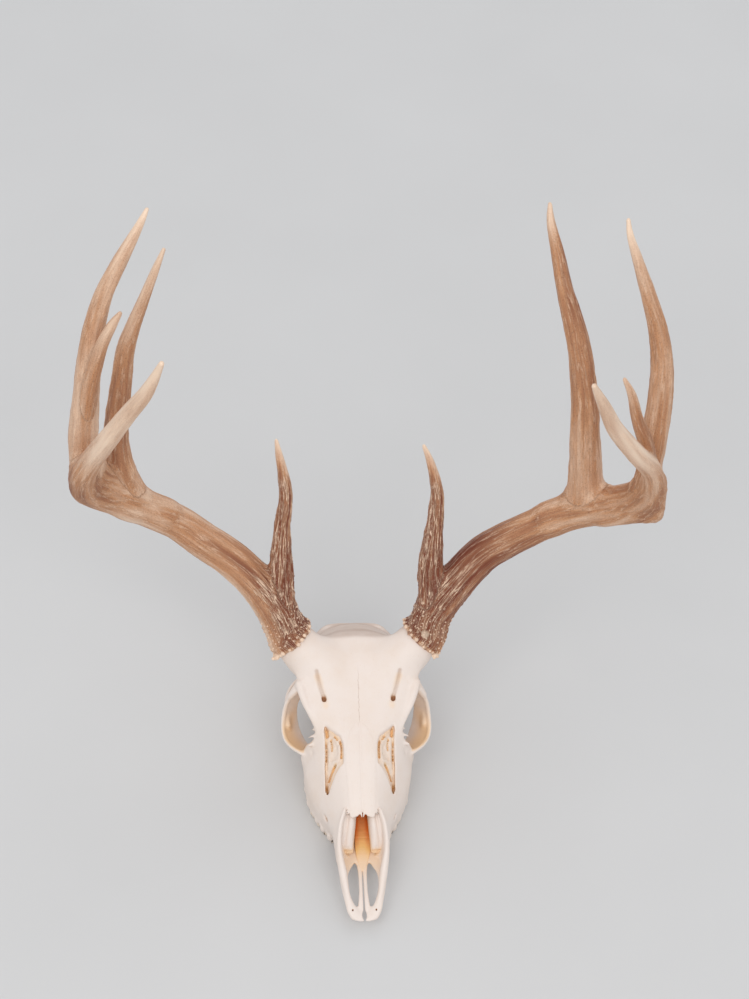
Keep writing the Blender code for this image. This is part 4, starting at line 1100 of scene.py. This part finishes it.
class Branch:
    """The centre line of one branch, with a frame that doesn't twist at each of its points."""

    def __init__(self, points):
        path = np.array(smooth_path(points, 2.0))
        self.centres, self.radii = path[:, :3], path[:, 3]
        gaps = np.linalg.norm(np.diff(self.centres, axis=0), axis=1)
        self.lengths = np.concatenate([[0], np.cumsum(gaps)])
        along = np.gradient(self.centres, axis=0)
        self.along = along / np.linalg.norm(along, axis=1)[:, None]
        across = [np.array((0.0, -1.0, 0.0))]
        for direction in self.along:
            turned = across[-1] - direction * across[-1].dot(direction)
            across.append(turned / np.linalg.norm(turned))
        self.across = np.array(across[1:])
        self.over = np.cross(self.along, self.across)

    def measure(self, points):
        """For each point: distance in radii, share of the length, length, and offsets to either side."""
        square = ((points ** 2).sum(1)[:, None] - 2 * points @ self.centres.T
                  + (self.centres ** 2).sum(1)[None, :])
        k = square.argmin(1)
        away = points - self.centres[k]
        slid = (away * self.along[k]).sum(1)
        across, over = (away * self.across[k]).sum(1), (away * self.over[k]).sum(1)
        length = self.lengths[k] + slid
        distance = np.sqrt(np.maximum(square.min(1), 0)) / self.radii[k]
        return distance, length / self.lengths[-1], length, across, over


def table_value(table, share):
    """The value at a share of the length, between the pairs of a table."""
    shares, values = zip(*table)
    return np.interp(share, shares, values)


def burr_plane(side):
    """The middle of the antler's foot and the direction in which it leaves the skull."""
    sign = 1 if side == "left" else -1
    axis = np.array((BURR_AXIS[0] * sign, *BURR_AXIS[1:]))
    return np.array((BURR_CENTRE[0] * sign, *BURR_CENTRE[1:]), float), axis / np.linalg.norm(axis)


def antler_branches(side, branches):
    """The branches of one antler, the beam with its burr at its foot."""
    centre, axis = burr_plane(side)
    foot = [(*(centre + axis * reach), radius) for reach, radius in BURR_RINGS]
    return [(name, foot + points if name == "beam" else points) for name, points in branches]


def ridged(noise_here, spot):
    """Sharp crests that run along a branch, from 0 in the grooves to 1 on top."""
    coarse = 1 - np.abs(2 * noise_here.at(spot) - 1) * 1.7
    fine = 1 - np.abs(2 * noise_here.at(spot * (1.9, 1.9, 1.7) + 9.7) - 1) * 1.7
    return np.clip(coarse, 0, 1) * 0.62 + np.clip(fine, 0, 1) * 0.38


def branch_marks(points, side, branches, ridge_noise, sway):
    """What the branches near each point give it: relief, crest, tone, roughness and place in the grain."""
    settings = bpy.context.scene.deerskull_antler
    gap, run = settings.ridge_gap / MM, settings.ridge_length / MM
    total, relief, crest, tone, rough = 0.0, 0.0, 0.0, 0.0, 0.0
    best = np.full(len(points), np.inf)
    grain = np.zeros((len(points), 3))
    for number, (name, line) in enumerate(branches):
        distance, share, length, across, over = Branch(line).measure(points)
        weight = 1 / (np.maximum(distance, 0.2) ** 10 + 1e-6)
        spot = np.stack([across / gap + number * 7.3, over / gap, length / run], axis=1)
        spot[:, :2] += 1.1 * (sway.at(points / 19)[:, None] - 0.5)
        height = ridged(ridge_noise, spot)
        total = total + weight
        relief = relief + weight * table_value(BRANCH_RELIEF[name], share) * (height - 0.45)
        if name == "brow_tine":
            rough = rough + weight * smooth_step(0.92, 0.7, share)
        crest = crest + weight * height
        tone = tone + weight * table_value(BRANCH_TONES[side][name], share)
        nearer = distance < best
        best = np.where(nearer, distance, best)
        grain[nearer] = np.stack([across + number * 40, over, length], 1)[nearer]
    return relief / total, crest / total, tone / total, rough / total, grain


def shape_antler(piece, side, branches, seed):
    """Raises the ridges, grooves and beads, and keeps the marks that the finish reads."""
    points, normals = places_of(piece)
    ridge_noise, bead_noise, sway = Noise(seed), Noise(seed + 1), Noise(seed + 2)
    relief, crest, tone, rough, grain = branch_marks(points, side, branches, ridge_noise, sway)
    foot, axis = burr_plane(side)
    from_burr = np.linalg.norm(points - foot, axis=1)
    height_over_burr = (points - foot) @ axis
    near_burr = smooth_step(88, 22, from_burr)
    outer = (points[:, 0] - foot[0]) * np.sign(foot[0]) - (points[:, 2] - foot[2]) * 0.72
    strip = smooth_step(8, -8, outer + 5 * (sway.at(points / 11) - 0.5)) * smooth_step(90, 60, from_burr)
    rough = np.maximum(rough, strip)
    relief = relief + 1.3 * strip * (crest - 0.45)
    tone = tone + OUTER_TONE[side] * smooth_step(0, 22, outer) * smooth_step(120, 50, from_burr)
    tone = tone - 0.12 * smooth_step(8, -14, outer) * smooth_step(120, 50, from_burr)
    tone = tone + 0.5 * smooth_step(5, 2, height_over_burr)
    pearl = 0.0
    for centre, radius in LARGE_PEARLS[side]:
        pearl = pearl + smooth_step(radius + 1.2, radius + 0.2, np.linalg.norm(points - centre, axis=1))
    beads = smooth_step(0.6, 0.82, bead_noise.at(points / 2.3))
    relief = relief + near_burr * (beads * 0.9 - 0.15)
    move_to(piece, points + normals * relief[:, None])
    paint(piece, "crest", np.clip(crest + near_burr * (beads - 0.25) * 0.6, 0, 1))
    paint(piece, "tone", tone)
    paint(piece, "rough", rough)
    paint(piece, "pearl", pearl)
    paint(piece, "grain", grain)
    paint(piece, "burr", near_burr * smooth_step(0.5, 2.5, height_over_burr))
    paint(piece, "rim", smooth_step(0.2, 1.2, height_over_burr) * smooth_step(5.5, 3.5, height_over_burr))


def pearl_nodes():
    """Round beads sown over a mesh where one of its marks is strong."""
    tree = bpy.data.node_groups.new("Antler Pearls", "GeometryNodeTree")
    for label, kind in (("Geometry", "Geometry"), ("Mark", "String"), ("Least Mark", "Float"),
                        ("Spacing", "Float"), ("Smallest", "Float"), ("Largest", "Float"), ("Seed", "Int"),
                        ("Material", "Material")):
        tree.interface.new_socket(label, in_out="INPUT", socket_type="NodeSocket" + kind)
    tree.interface.new_socket("Geometry", in_out="OUTPUT", socket_type="NodeSocketGeometry")
    given = tree.nodes.new("NodeGroupInput").outputs
    mark = add_node(tree, "GeometryNodeInputNamedAttribute", {"Name": given["Mark"]}).outputs["Attribute"]
    strong = add_node(tree, "FunctionNodeCompare", {0: mark, 1: given["Least Mark"]}).outputs["Result"]
    crowd = maths(tree, "DIVIDE", 2.0, times(tree, given["Spacing"], given["Spacing"]))
    sown = add_node(tree, "GeometryNodeDistributePointsOnFaces", {
        "Mesh": given["Geometry"], "Selection": strong, "Distance Min": given["Spacing"],
        "Density Max": crowd, "Seed": given["Seed"]}, distribute_method="POISSON").outputs
    size = add_node(tree, "FunctionNodeRandomValue", {
        2: given["Smallest"], 3: given["Largest"], "Seed": given["Seed"]}).outputs[1]
    ball = add_node(tree, "GeometryNodeMeshUVSphere", {"Segments": 8, "Rings": 6, "Radius": 1.0})
    bead = add_node(tree, "GeometryNodeSetShadeSmooth", {"Geometry": ball.outputs["Mesh"]}).outputs[0]
    beads = add_node(tree, "GeometryNodeInstanceOnPoints", {
        "Points": sown["Points"], "Instance": bead, "Rotation": sown["Rotation"], "Scale": size}).outputs[0]
    beads = add_node(tree, "GeometryNodeStoreNamedAttribute", {
        "Geometry": beads, "Name": "pearl", "Value": 1.0}, data_type="FLOAT", domain="INSTANCE").outputs[0]
    beads = add_node(tree, "GeometryNodeRealizeInstances", {"Geometry": beads}).outputs[0]
    beads = add_node(tree, "GeometryNodeSetMaterial", {
        "Geometry": beads, "Material": given["Material"]}).outputs[0]
    tree.links.new(beads, tree.nodes.new("NodeGroupOutput").inputs["Geometry"])
    return tree


def sow_pearls(antler, name, mark, seed):
    """A piece of its own with the beads that follow one mark of the antler."""
    least, *lengths = SOWN_PEARLS[mark]
    tree = bpy.data.node_groups.get("Antler Pearls") or pearl_nodes()
    piece = bpy.data.objects.new(name, antler.data.copy())
    bpy.context.scene.collection.objects.link(piece)
    sowing = piece.modifiers.new("Pearls", "NODES")
    sowing.node_group = tree
    values = dict(zip(("Spacing", "Smallest", "Largest"), (length * MM for length in lengths)))
    values.update({"Mark": mark, "Least Mark": least, "Seed": seed, "Material": antler_material()})
    for item in tree.interface.items_tree:
        if item.in_out == "INPUT" and item.name in values:
            sowing[item.identifier] = values[item.name]
    settle(piece)
    keep(piece, "antler")


class DEERSKULL_OT_antlers(bpy.types.Operator):
    """Makes both antlers, each one growth from its burr to its tips, with ridges, grooves and beads"""

    bl_idname = "deerskull.antlers"
    bl_label = "Antlers"

    def execute(self, context):
        for side, (branches, corners, seed) in ANTLERS.items():
            lines = antler_branches(side, branches)
            everything = np.array([point[:3] for _, line in lines for point in line])
            grid = Field(everything.min(0) - 24, everything.max(0) + 24, ANTLER_STEP)
            for name, line in lines:
                grid.add(rod(line, 5.0), FORK_FILLETS[name])
            for corner in corners:
                grid.add(rod(corner, 5.0), CORNER_FILLETS[side])
            for centre, radius in LARGE_PEARLS[side]:
                grid.add(lump(centre, (radius, radius, radius)), 0.8)
            x, y, z = grid.grid()
            foot, axis = burr_plane(side)
            below = (foot[0] - x) * axis[0] + (foot[1] - y) * axis[1] + (foot[2] - z) * axis[2]
            grid.values = -smooth_min(-grid.values, -below.astype(np.float32), 2.5)
            piece = piece_from(grid, "antler_" + side, antler_material(), ANTLER_TRIANGLES)
            shape_antler(piece, side, lines, seed)
            for mark in SOWN_PEARLS:
                sow_pearls(piece, f"{mark}_pearls_{side}", mark, seed)
            keep(piece, "antler", *[f"antler_{side}_{name}" for name, _ in branches])
        return {"FINISHED"}


# Materials


def linear(red, green, blue):
    """A colour as Blender keeps it, from its parts out of 255."""
    def straight(part):
        part /= 255
        return part / 12.92 if part <= 0.04045 else ((part + 0.055) / 1.055) ** 2.4
    return (straight(red), straight(green), straight(blue), 1.0)


def add_node(tree, kind, inputs=None, **settings):
    """A node with its settings, and its inputs set to values or linked to other nodes' outputs."""
    made = tree.nodes.new(kind)
    for name, value in settings.items():
        setattr(made, name, value)
    for name, value in (inputs or {}).items():
        if isinstance(value, bpy.types.NodeSocket):
            tree.links.new(value, made.inputs[name])
        else:
            made.inputs[name].default_value = value
    return made


def maths(tree, operation, a, b=0.0):
    """What a Math node makes of one value or two."""
    return add_node(tree, "ShaderNodeMath", {0: a, 1: b}, operation=operation).outputs[0]


def times(tree, a, b):
    """The two values multiplied."""
    return maths(tree, "MULTIPLY", a, b)


def mix(tree, share, a, b):
    """A colour between a and b."""
    return add_node(tree, "ShaderNodeMix", {0: share, 6: a, 7: b}, data_type="RGBA").outputs[2]


def spread(tree, value, low, high, new_low=0.0, new_high=1.0):
    """The value stretched from one span to another, and kept inside it."""
    return add_node(tree, "ShaderNodeMapRange", {0: value, 1: low, 2: high, 3: new_low, 4: new_high},
                    clamp=True).outputs[0]


def winding_line(tree, wave, middle, near, far):
    """1 where a wave is at its middle value and 0 far from it: a line that winds through the pattern."""
    away = maths(tree, "ABSOLUTE", maths(tree, "SUBTRACT", wave, middle))
    return spread(tree, away, near, far, 1.0, 0.0)


def noise(tree, vector, scale, detail=3.0, roughness=0.55, distortion=0.0):
    """Noise from 0 to 1 at a place."""
    return add_node(tree, "ShaderNodeTexNoise", {
        "Vector": vector, "Scale": scale, "Detail": detail, "Roughness": roughness,
        "Distortion": distortion}).outputs["Fac"]


def attribute(tree, name, output="Fac"):
    """A mark that was painted on the piece."""
    return add_node(tree, "ShaderNodeAttribute", attribute_name=name).outputs[output]


def new_group(name, inputs, outputs):
    """An empty node group with named inputs and outputs: the tree, its input and output nodes."""
    tree = bpy.data.node_groups.new(name, "ShaderNodeTree")
    for label, kind, value in inputs:
        socket = tree.interface.new_socket(label, in_out="INPUT", socket_type="NodeSocket" + kind)
        if value is not None:
            socket.default_value = value
    for label, kind in outputs:
        tree.interface.new_socket(label, in_out="OUTPUT", socket_type="NodeSocket" + kind)
    return tree, tree.nodes.new("NodeGroupInput").outputs, tree.nodes.new("NodeGroupOutput").inputs


def fine_pores():
    """Small pits scattered over a surface."""
    tree, given, out = new_group("Fine Pores", [("Vector", "Vector", None), ("Scale", "Float", 900.0),
                                                ("Share", "Float", 0.3)],
                                 [("Pits", "Float"), ("Height", "Float")])
    cells = add_node(tree, "ShaderNodeTexVoronoi", {"Vector": given["Vector"], "Scale": given["Scale"],
                                                    "Randomness": 1.0})
    chosen = maths(tree, "LESS_THAN", add_node(tree, "ShaderNodeSeparateColor", {
        "Color": cells.outputs["Color"]}).outputs[0], given["Share"])
    pit = spread(tree, cells.outputs["Distance"], 0.12, 0.38, 1.0, 0.0)
    pits = times(tree, chosen, pit)
    tree.links.new(pits, out["Pits"])
    tree.links.new(maths(tree, "SUBTRACT", 1.0, pits), out["Height"])
    return tree


def mottled_stain():
    """Soft patches of tint, and a darkening by the Hollow input to the tint and then the deep colour."""
    tree, given, out = new_group("Mottled Stain", [
        ("Vector", "Vector", None), ("Scale", "Float", 60.0), ("Hollow", "Float", 0.0),
        ("Clean", "Color", None), ("Tint", "Color", None), ("Deep", "Color", None)], [("Color", "Color")])
    patches = noise(tree, given["Vector"], given["Scale"], 4.0, 0.6)
    faint = spread(tree, patches, 0.45, 0.75, 0.0, 0.25)
    colour = mix(tree, faint, given["Clean"], given["Tint"])
    depth = maths(tree, "ADD", given["Hollow"], times(tree, patches, 0.25))
    colour = mix(tree, spread(tree, depth, 0.45, 0.8, 0.0, 0.8), colour, given["Tint"])
    colour = mix(tree, spread(tree, depth, 0.62, 1.05), colour, given["Deep"])
    tree.links.new(colour, out["Color"])
    return tree


def group(tree, source, inputs):
    """The named node group placed in a tree, built at its first use."""
    name = source.__name__.replace("_", " ").title()
    made = bpy.data.node_groups.get(name) or source()
    return add_node(tree, "ShaderNodeGroup", inputs, node_tree=made).outputs


def new_material(name):
    """A material and its tree, shader and object coordinates."""
    material = bpy.data.materials.new(name)
    material.use_nodes = True
    tree = material.node_tree
    place = add_node(tree, "ShaderNodeTexCoord").outputs["Object"]
    return material, tree, tree.nodes["Principled BSDF"], place


def brow_seam(tree, place):
    """The faint wandering seam down the middle of the brow."""
    parts = add_node(tree, "ShaderNodeSeparateXYZ", {0: place}).outputs
    wander = times(tree, maths(tree, "SUBTRACT", noise(tree, place, 260.0, 3.0), 0.5), 0.0026)
    away = maths(tree, "ABSOLUTE", maths(tree, "ADD", parts["X"], wander))
    line = spread(tree, away, 0.00012, 0.0004, 0.5, 0.0)
    start = spread(tree, parts["Y"], -0.012, -0.009)
    end = spread(tree, parts["Y"], 0.02, 0.036, 1.0, 0.0)
    return times(tree, line, times(tree, start, end))


def bone_material():
    """Bleached bone: warm white with painted shade in its hollows, fat tint, fine pores and a soft dull
    shine.
    """
    if "bleached_bone" in bpy.data.materials:
        return bpy.data.materials["bleached_bone"]
    settings = bpy.context.scene.deerskull_bone
    material, tree, shader, place = new_material("bleached_bone")
    # Faint patches of tint, and painted shade to tan and brown where the bone is marked as closed in
    colour = group(tree, mottled_stain, {
        "Vector": place, "Scale": 38.0, "Hollow": attribute(tree, "hollow"),
        "Clean": (*settings.clean, 1), "Tint": (*settings.tint, 1), "Deep": (*settings.deep, 1)})["Color"]
    pores = group(tree, fine_pores, {"Vector": place, "Scale": 520.0, "Share": 0.12})
    # Fat tint in honey and amber; on the scroll bones and the face lace the honey is painted shade
    amber = attribute(tree, "amber")
    colour = mix(tree, spread(tree, amber, 0.0, 0.45), colour, (*settings.honey, 1))
    colour = mix(tree, spread(tree, amber, 0.45, 1.0), colour, (*settings.amber, 1))
    # Painted grey shade on the back of the head and in the brow grooves, made uneven by noise
    uneven_shade = noise(tree, place, 90.0, 3.0)
    stain = times(tree, attribute(tree, "stain"), spread(tree, uneven_shade, 0.3, 0.7, 0.8, 0.6))
    colour = mix(tree, stain, colour, (*settings.stain, 1))
    colour = mix(tree, times(tree, pores["Pits"], 0.2), colour, (*settings.tint, 1))
    colour = mix(tree, brow_seam(tree, place), colour, (*settings.stain, 1))
    tree.links.new(colour, shader.inputs["Base Color"])
    grain = noise(tree, place, 420.0, 4.0, 0.6)
    tree.links.new(spread(tree, grain, 0.3, 0.7, 0.5, 0.66), shader.inputs["Roughness"])
    height = maths(tree, "ADD", times(tree, grain, 0.5), times(tree, pores["Height"], 0.5))
    bump = add_node(tree, "ShaderNodeBump", {"Strength": 0.35, "Distance": 0.0004, "Height": height})
    tree.links.new(bump.outputs[0], shader.inputs["Normal"])
    return material


def enamel_material():
    """Tooth enamel: glossy cream with brown in the folds and on the worn face."""
    if "tooth_enamel" in bpy.data.materials:
        return bpy.data.materials["tooth_enamel"]
    settings = bpy.context.scene.deerskull_bone
    material, tree, shader, place = new_material("tooth_enamel")
    colour = group(tree, mottled_stain, {
        "Vector": place, "Scale": 120.0, "Hollow": attribute(tree, "worn"),
        "Clean": (*settings.enamel, 1), "Tint": linear(206, 176, 132), "Deep": linear(120, 84, 52)})["Color"]
    tree.links.new(colour, shader.inputs["Base Color"])
    lines = noise(tree, place, 700.0, 2.0)
    tree.links.new(spread(tree, lines, 0.3, 0.7, 0.22, 0.4), shader.inputs["Roughness"])
    bump = add_node(tree, "ShaderNodeBump", {"Strength": 0.15, "Distance": 0.0002, "Height": lines})
    tree.links.new(bump.outputs[0], shader.inputs["Normal"])
    return material


def grain_at(tree, grain, across, along):
    """The place along an antler's grain, with so many turns of a pattern to the millimetre."""
    return add_node(tree, "ShaderNodeMapping", {
        "Vector": grain, "Scale": (across, across, along)}).outputs[0]


def antler_material():
    """Antler: dark brown between cream ridges, tan on the beam, worn pale and smooth at the tips."""
    if "ridged_antler" in bpy.data.materials:
        return bpy.data.materials["ridged_antler"]
    settings = bpy.context.scene.deerskull_antler
    material, tree, shader, place = new_material("ridged_antler")
    grain = attribute(tree, "grain", "Vector")
    crest, tone, rough, pearl = (attribute(tree, mark) for mark in ("crest", "tone", "rough", "pearl"))
    bands = noise(tree, grain_at(tree, grain, 0.12, 0.009), 1.0, 2.0, 0.5)
    long_wave = noise(tree, grain_at(tree, grain, 0.34, 0.016), 1.0, 2.0, 0.55, 0.15)
    short_wave = noise(tree, grain_at(tree, grain, 0.80, 0.09), 1.0, 2.0, 0.6, 0.4)
    breaks = noise(tree, grain_at(tree, grain, 0.7, 0.22), 1.0, 2.0, 0.6)
    specks = noise(tree, place, 1100.0, 2.0, 0.6)
    long_lines = winding_line(tree, long_wave, 0.485, 0.012, 0.042)
    long_lines = times(tree, long_lines, spread(tree, breaks, 0.36, 0.5, 0.3, 1.0))
    short_lines = winding_line(tree, short_wave, 0.5, 0.0, 0.045)
    tone = maths(tree, "ADD", tone, spread(tree, bands, 0.32, 0.68, -0.2, 0.2))
    colour = mix(tree, spread(tree, tone, 0.05, 0.5), (*settings.groove, 1), (*settings.tan, 1))
    colour = mix(tree, spread(tree, tone, 0.5, 1.0), colour, (*settings.cream, 1))
    streaks = times(tree, spread(tree, long_wave, 0.54, 0.62), spread(tree, rough, 0, 1, 0.16, 0.85))
    dashes = times(tree, spread(tree, short_wave, 0.57, 0.64), spread(tree, rough, 0, 1, 0.12, 0.65))
    dark = times(tree, maths(tree, "MAXIMUM", streaks, dashes), spread(tree, tone, 0.6, 0.95, 1.0, 0.2))
    colour = mix(tree, dark, colour, (*settings.groove, 1))
    fine_lines = times(tree, short_lines, spread(tree, rough, 0, 1, 0.15, 0.5))
    lit = maths(tree, "MAXIMUM", long_lines, fine_lines)
    lit = times(tree, lit, spread(tree, crest, 0.0, 0.4, 0.5, 1.0))
    lit = times(tree, lit, spread(tree, rough, 0.0, 1.0, 0.4, 1.0))
    colour = mix(tree, lit, colour, (*settings.ridge, 1))
    dots = times(tree, spread(tree, specks, 0.52, 0.66), spread(tree, tone, 0.5, 0.98, 0.45, 0.08))
    colour = mix(tree, dots, colour, (*settings.groove, 1))
    colour = mix(tree, times(tree, pearl, 0.8), colour, (*settings.cream, 1))
    tree.links.new(colour, shader.inputs["Base Color"])
    tree.links.new(spread(tree, tone, 0.2, 1.0, 0.6, 0.38), shader.inputs["Roughness"])
    height = maths(tree, "ADD", times(tree, long_lines, 0.8), times(tree, short_lines, 0.4))
    height = maths(tree, "ADD", height, times(tree, specks, -0.8))
    height = times(tree, height, spread(tree, tone, 0.5, 1.0, 1.0, 0.15))
    height = times(tree, height, spread(tree, rough, 0.0, 1.0, 0.55, 1.0))
    bump = add_node(tree, "ShaderNodeBump", {"Strength": 0.8, "Distance": 0.0009, "Height": height})
    tree.links.new(bump.outputs[0], shader.inputs["Normal"])
    return material


# Stage


def add_floor(colour):
    """The wide pale floor that the skull stands on."""
    mesh = bpy.data.meshes.new("floor")
    reach = FLOOR_REACH
    mesh.from_pydata([(-reach, -reach, 0), (reach, -reach, 0), (reach, reach, 0), (-reach, reach, 0)],
                     [], [(0, 1, 2, 3)])
    floor = bpy.data.objects.new("floor", mesh)
    material, tree, shader, place = new_material("pale_floor")
    shade = spread(tree, noise(tree, place, 3.0), 0.3, 0.7)
    lighter = [part * 1.04 for part in colour]
    tree.links.new(mix(tree, shade, (*colour, 1), (*lighter, 1)), shader.inputs["Base Color"])
    shader.inputs["Roughness"].default_value = 0.9
    mesh.materials.append(material)
    bpy.context.scene.collection.objects.link(floor)


def add_light(name, place, size, power, colour):
    """A square soft light that points at the middle of the object."""
    light = bpy.data.lights.new(name, "AREA")
    light.shape = "SQUARE"
    light.size = size
    light.energy = power
    light.color = colour
    lamp = bpy.data.objects.new(name, light)
    lamp.location = place
    lamp.rotation_euler = (Vector(LIGHT_TARGET) - Vector(place)).to_track_quat("-Z", "Y").to_euler()
    bpy.context.scene.collection.objects.link(lamp)


def add_surroundings(strength):
    """Even light from all round."""
    world = bpy.data.worlds.new("studio")
    world.use_nodes = True
    sky = world.node_tree.nodes["Background"]
    sky.inputs["Color"].default_value = (0.9, 0.92, 0.95, 1)
    sky.inputs["Strength"].default_value = strength
    bpy.context.scene.world = world


def turned(a, b, angle):
    """Two directions at right angles to each other, turned together by an angle in degrees."""
    cos, sin = math.cos(math.radians(angle)), math.sin(math.radians(angle))
    return a * cos + b * sin, b * cos - a * sin


def add_camera():
    """The camera where the photograph was taken from."""
    camera = bpy.data.cameras.new("camera")
    camera.sensor_fit = "AUTO"
    camera.sensor_width = 36.0
    camera.lens = camera.sensor_width * CAMERA_FOCUS / PHOTO_HEIGHT
    camera.clip_start, camera.clip_end = 0.05, 30.0
    tilt, yaw, roll = CAMERA_ANGLES
    up, back = turned(Vector((0, 1, 0)), Vector((0, 0, 1)), tilt)
    right, back = turned(Vector((1, 0, 0)), back, yaw)
    right, up = turned(right, up, roll)
    ways = zip((right, up, back), CAMERA_OFFSET)
    spot = sum((way * reach for way, reach in ways), Vector(CAMERA_TARGET))
    eye = bpy.data.objects.new("camera", camera)
    turn = Matrix((right, up, back)).transposed().to_4x4()
    eye.matrix_world = Matrix.Translation(Vector(in_frame(spot))) @ turn
    bpy.context.scene.collection.objects.link(eye)
    bpy.context.scene.camera = eye


class DEERSKULL_OT_stage(bpy.types.Operator):
    """Sets the pale floor, the soft studio lights and the camera at the photograph's viewing angle"""

    bl_idname = "deerskull.stage"
    bl_label = "Floor, lights and camera"

    def execute(self, context):
        settings = context.scene.deerskull_stage
        add_floor(settings.floor)
        for name, place, size, share, colour in LIGHTS:
            add_light(name, place, size, settings.key_power * share, colour)
        add_surroundings(settings.sky)
        context.scene.view_settings.view_transform = "Standard"
        add_camera()
        return {"FINISHED"}


# Settings that a user would change


def colour_setting(name, description, default):
    """A colour that a user can change."""
    return bpy.props.FloatVectorProperty(name=name, description=description, default=default[:3],
                                         subtype="COLOR", size=3, min=0.0, max=1.0)


def length_setting(name, description, millimetres):
    """A length that a user can change."""
    return bpy.props.FloatProperty(name=name, description=description, default=millimetres * MM,
                                   min=0.1 * MM, precision=4, unit="LENGTH")


class BoneSettings(bpy.types.PropertyGroup):
    """Thicknesses of the thin bones, and colours of the bone and the teeth"""

    nasal_thickness: length_setting("Nasal bones", "Thickness of the nasal bones", NASAL_THICKNESS)
    palate_thickness: length_setting("Palate plate", "Thickness of the premaxillae's plates", PLATE_THICKNESS)
    lace_thickness: length_setting("Face lace", "Thickness of the lace beside the nose", LACE_THICKNESS)

    clean: colour_setting("Clean bone", "Bleached bone in the open", linear(236, 222, 212))
    # Tinted bone: faint patches and pores, and painted shade in shallow hollows
    tint: colour_setting("Tinted bone", "Bone where it keeps a little fat or shade", linear(226, 200, 174))
    # Deep bone: painted shade far inside the hollows
    deep: colour_setting("Deep bone", "Bone far inside the hollows", linear(190, 134, 88))
    # Honey bone: fat tint, and painted shade on the scroll bones and the face lace
    honey: colour_setting("Honey bone", "Bone that fat has tinted", linear(246, 196, 122))
    amber: colour_setting("Amber bone", "The darkest fat at the back of the nose", linear(248, 116, 16))
    # This grey is painted shade on the back of the head and in the brow grooves, and the brow seam's colour
    stain: colour_setting("Grey bone", "The duller back of the head", linear(184, 156, 138))
    enamel: colour_setting("Enamel", "Outer enamel of the cheek teeth", linear(240, 226, 210))


class AntlerSettings(bpy.types.PropertyGroup):
    """Ridges and colours of the antlers"""

    ridge_gap: length_setting("Ridge gap", "How far apart the ridges stand", RIDGE_GAP)
    ridge_length: length_setting("Ridge length", "How long the ridges run", RIDGE_LENGTH)

    groove: colour_setting("Groove", "Dark brown at the burr and in the grooves", linear(116, 50, 22))
    tan: colour_setting("Tan", "The beam's general colour", linear(202, 146, 104))
    ridge: colour_setting("Ridge", "Worn tops of the ridges", linear(250, 216, 186))
    cream: colour_setting("Cream", "Polished tips", linear(242, 214, 188))


class StageSettings(bpy.types.PropertyGroup):
    """Floor and lights"""

    floor: colour_setting("Floor", "Colour of the pale floor", linear(205, 204, 203))
    key_power: bpy.props.FloatProperty(name="Key light", description="Power of the main light",
                                       default=17.8, min=0.0, unit="POWER")
    sky: bpy.props.FloatProperty(name="Surrounding light", default=0.84, min=0.0,
                                 description="Strength of the even light all round")


class DEERSKULL_PT_panel(bpy.types.Panel):
    """The settings and the pieces in the order in which they are made"""

    bl_label = "Deer Skull"
    bl_space_type = "VIEW_3D"
    bl_region_type = "UI"
    bl_category = "Deer Skull"

    def draw(self, context):
        for settings in (context.scene.deerskull_bone, context.scene.deerskull_antler,
                         context.scene.deerskull_stage):
            column = self.layout.column()
            for name in settings.bl_rna.properties.keys():
                if name not in ("rna_type", "name"):
                    column.prop(settings, name)
        for operator in PIECES:
            self.layout.operator(operator.bl_idname)


SETTINGS = {"deerskull_bone": BoneSettings, "deerskull_antler": AntlerSettings,
            "deerskull_stage": StageSettings}
PIECES = (DEERSKULL_OT_cranium, DEERSKULL_OT_nasal_bones, DEERSKULL_OT_premaxillae,
          DEERSKULL_OT_inner_nose, DEERSKULL_OT_cheek_teeth, DEERSKULL_OT_antlers, DEERSKULL_OT_stage)


def register():
    """Makes the settings, operators and panel known to Blender."""
    for made in (*SETTINGS.values(), *PIECES, DEERSKULL_PT_panel):
        bpy.utils.register_class(made)
    for name, settings in SETTINGS.items():
        setattr(bpy.types.Scene, name, bpy.props.PointerProperty(type=settings))


def unregister():
    """Takes them away again."""
    for name in SETTINGS:
        delattr(bpy.types.Scene, name)
    for made in (DEERSKULL_PT_panel, *reversed(PIECES), *SETTINGS.values()):
        bpy.utils.unregister_class(made)


def main():
    """Registers the classes and makes every piece in order."""
    register()
    for operator in PIECES:
        family, call = operator.bl_idname.split(".")
        getattr(getattr(bpy.ops, family), call)()


if __name__ == "__main__":
    main()
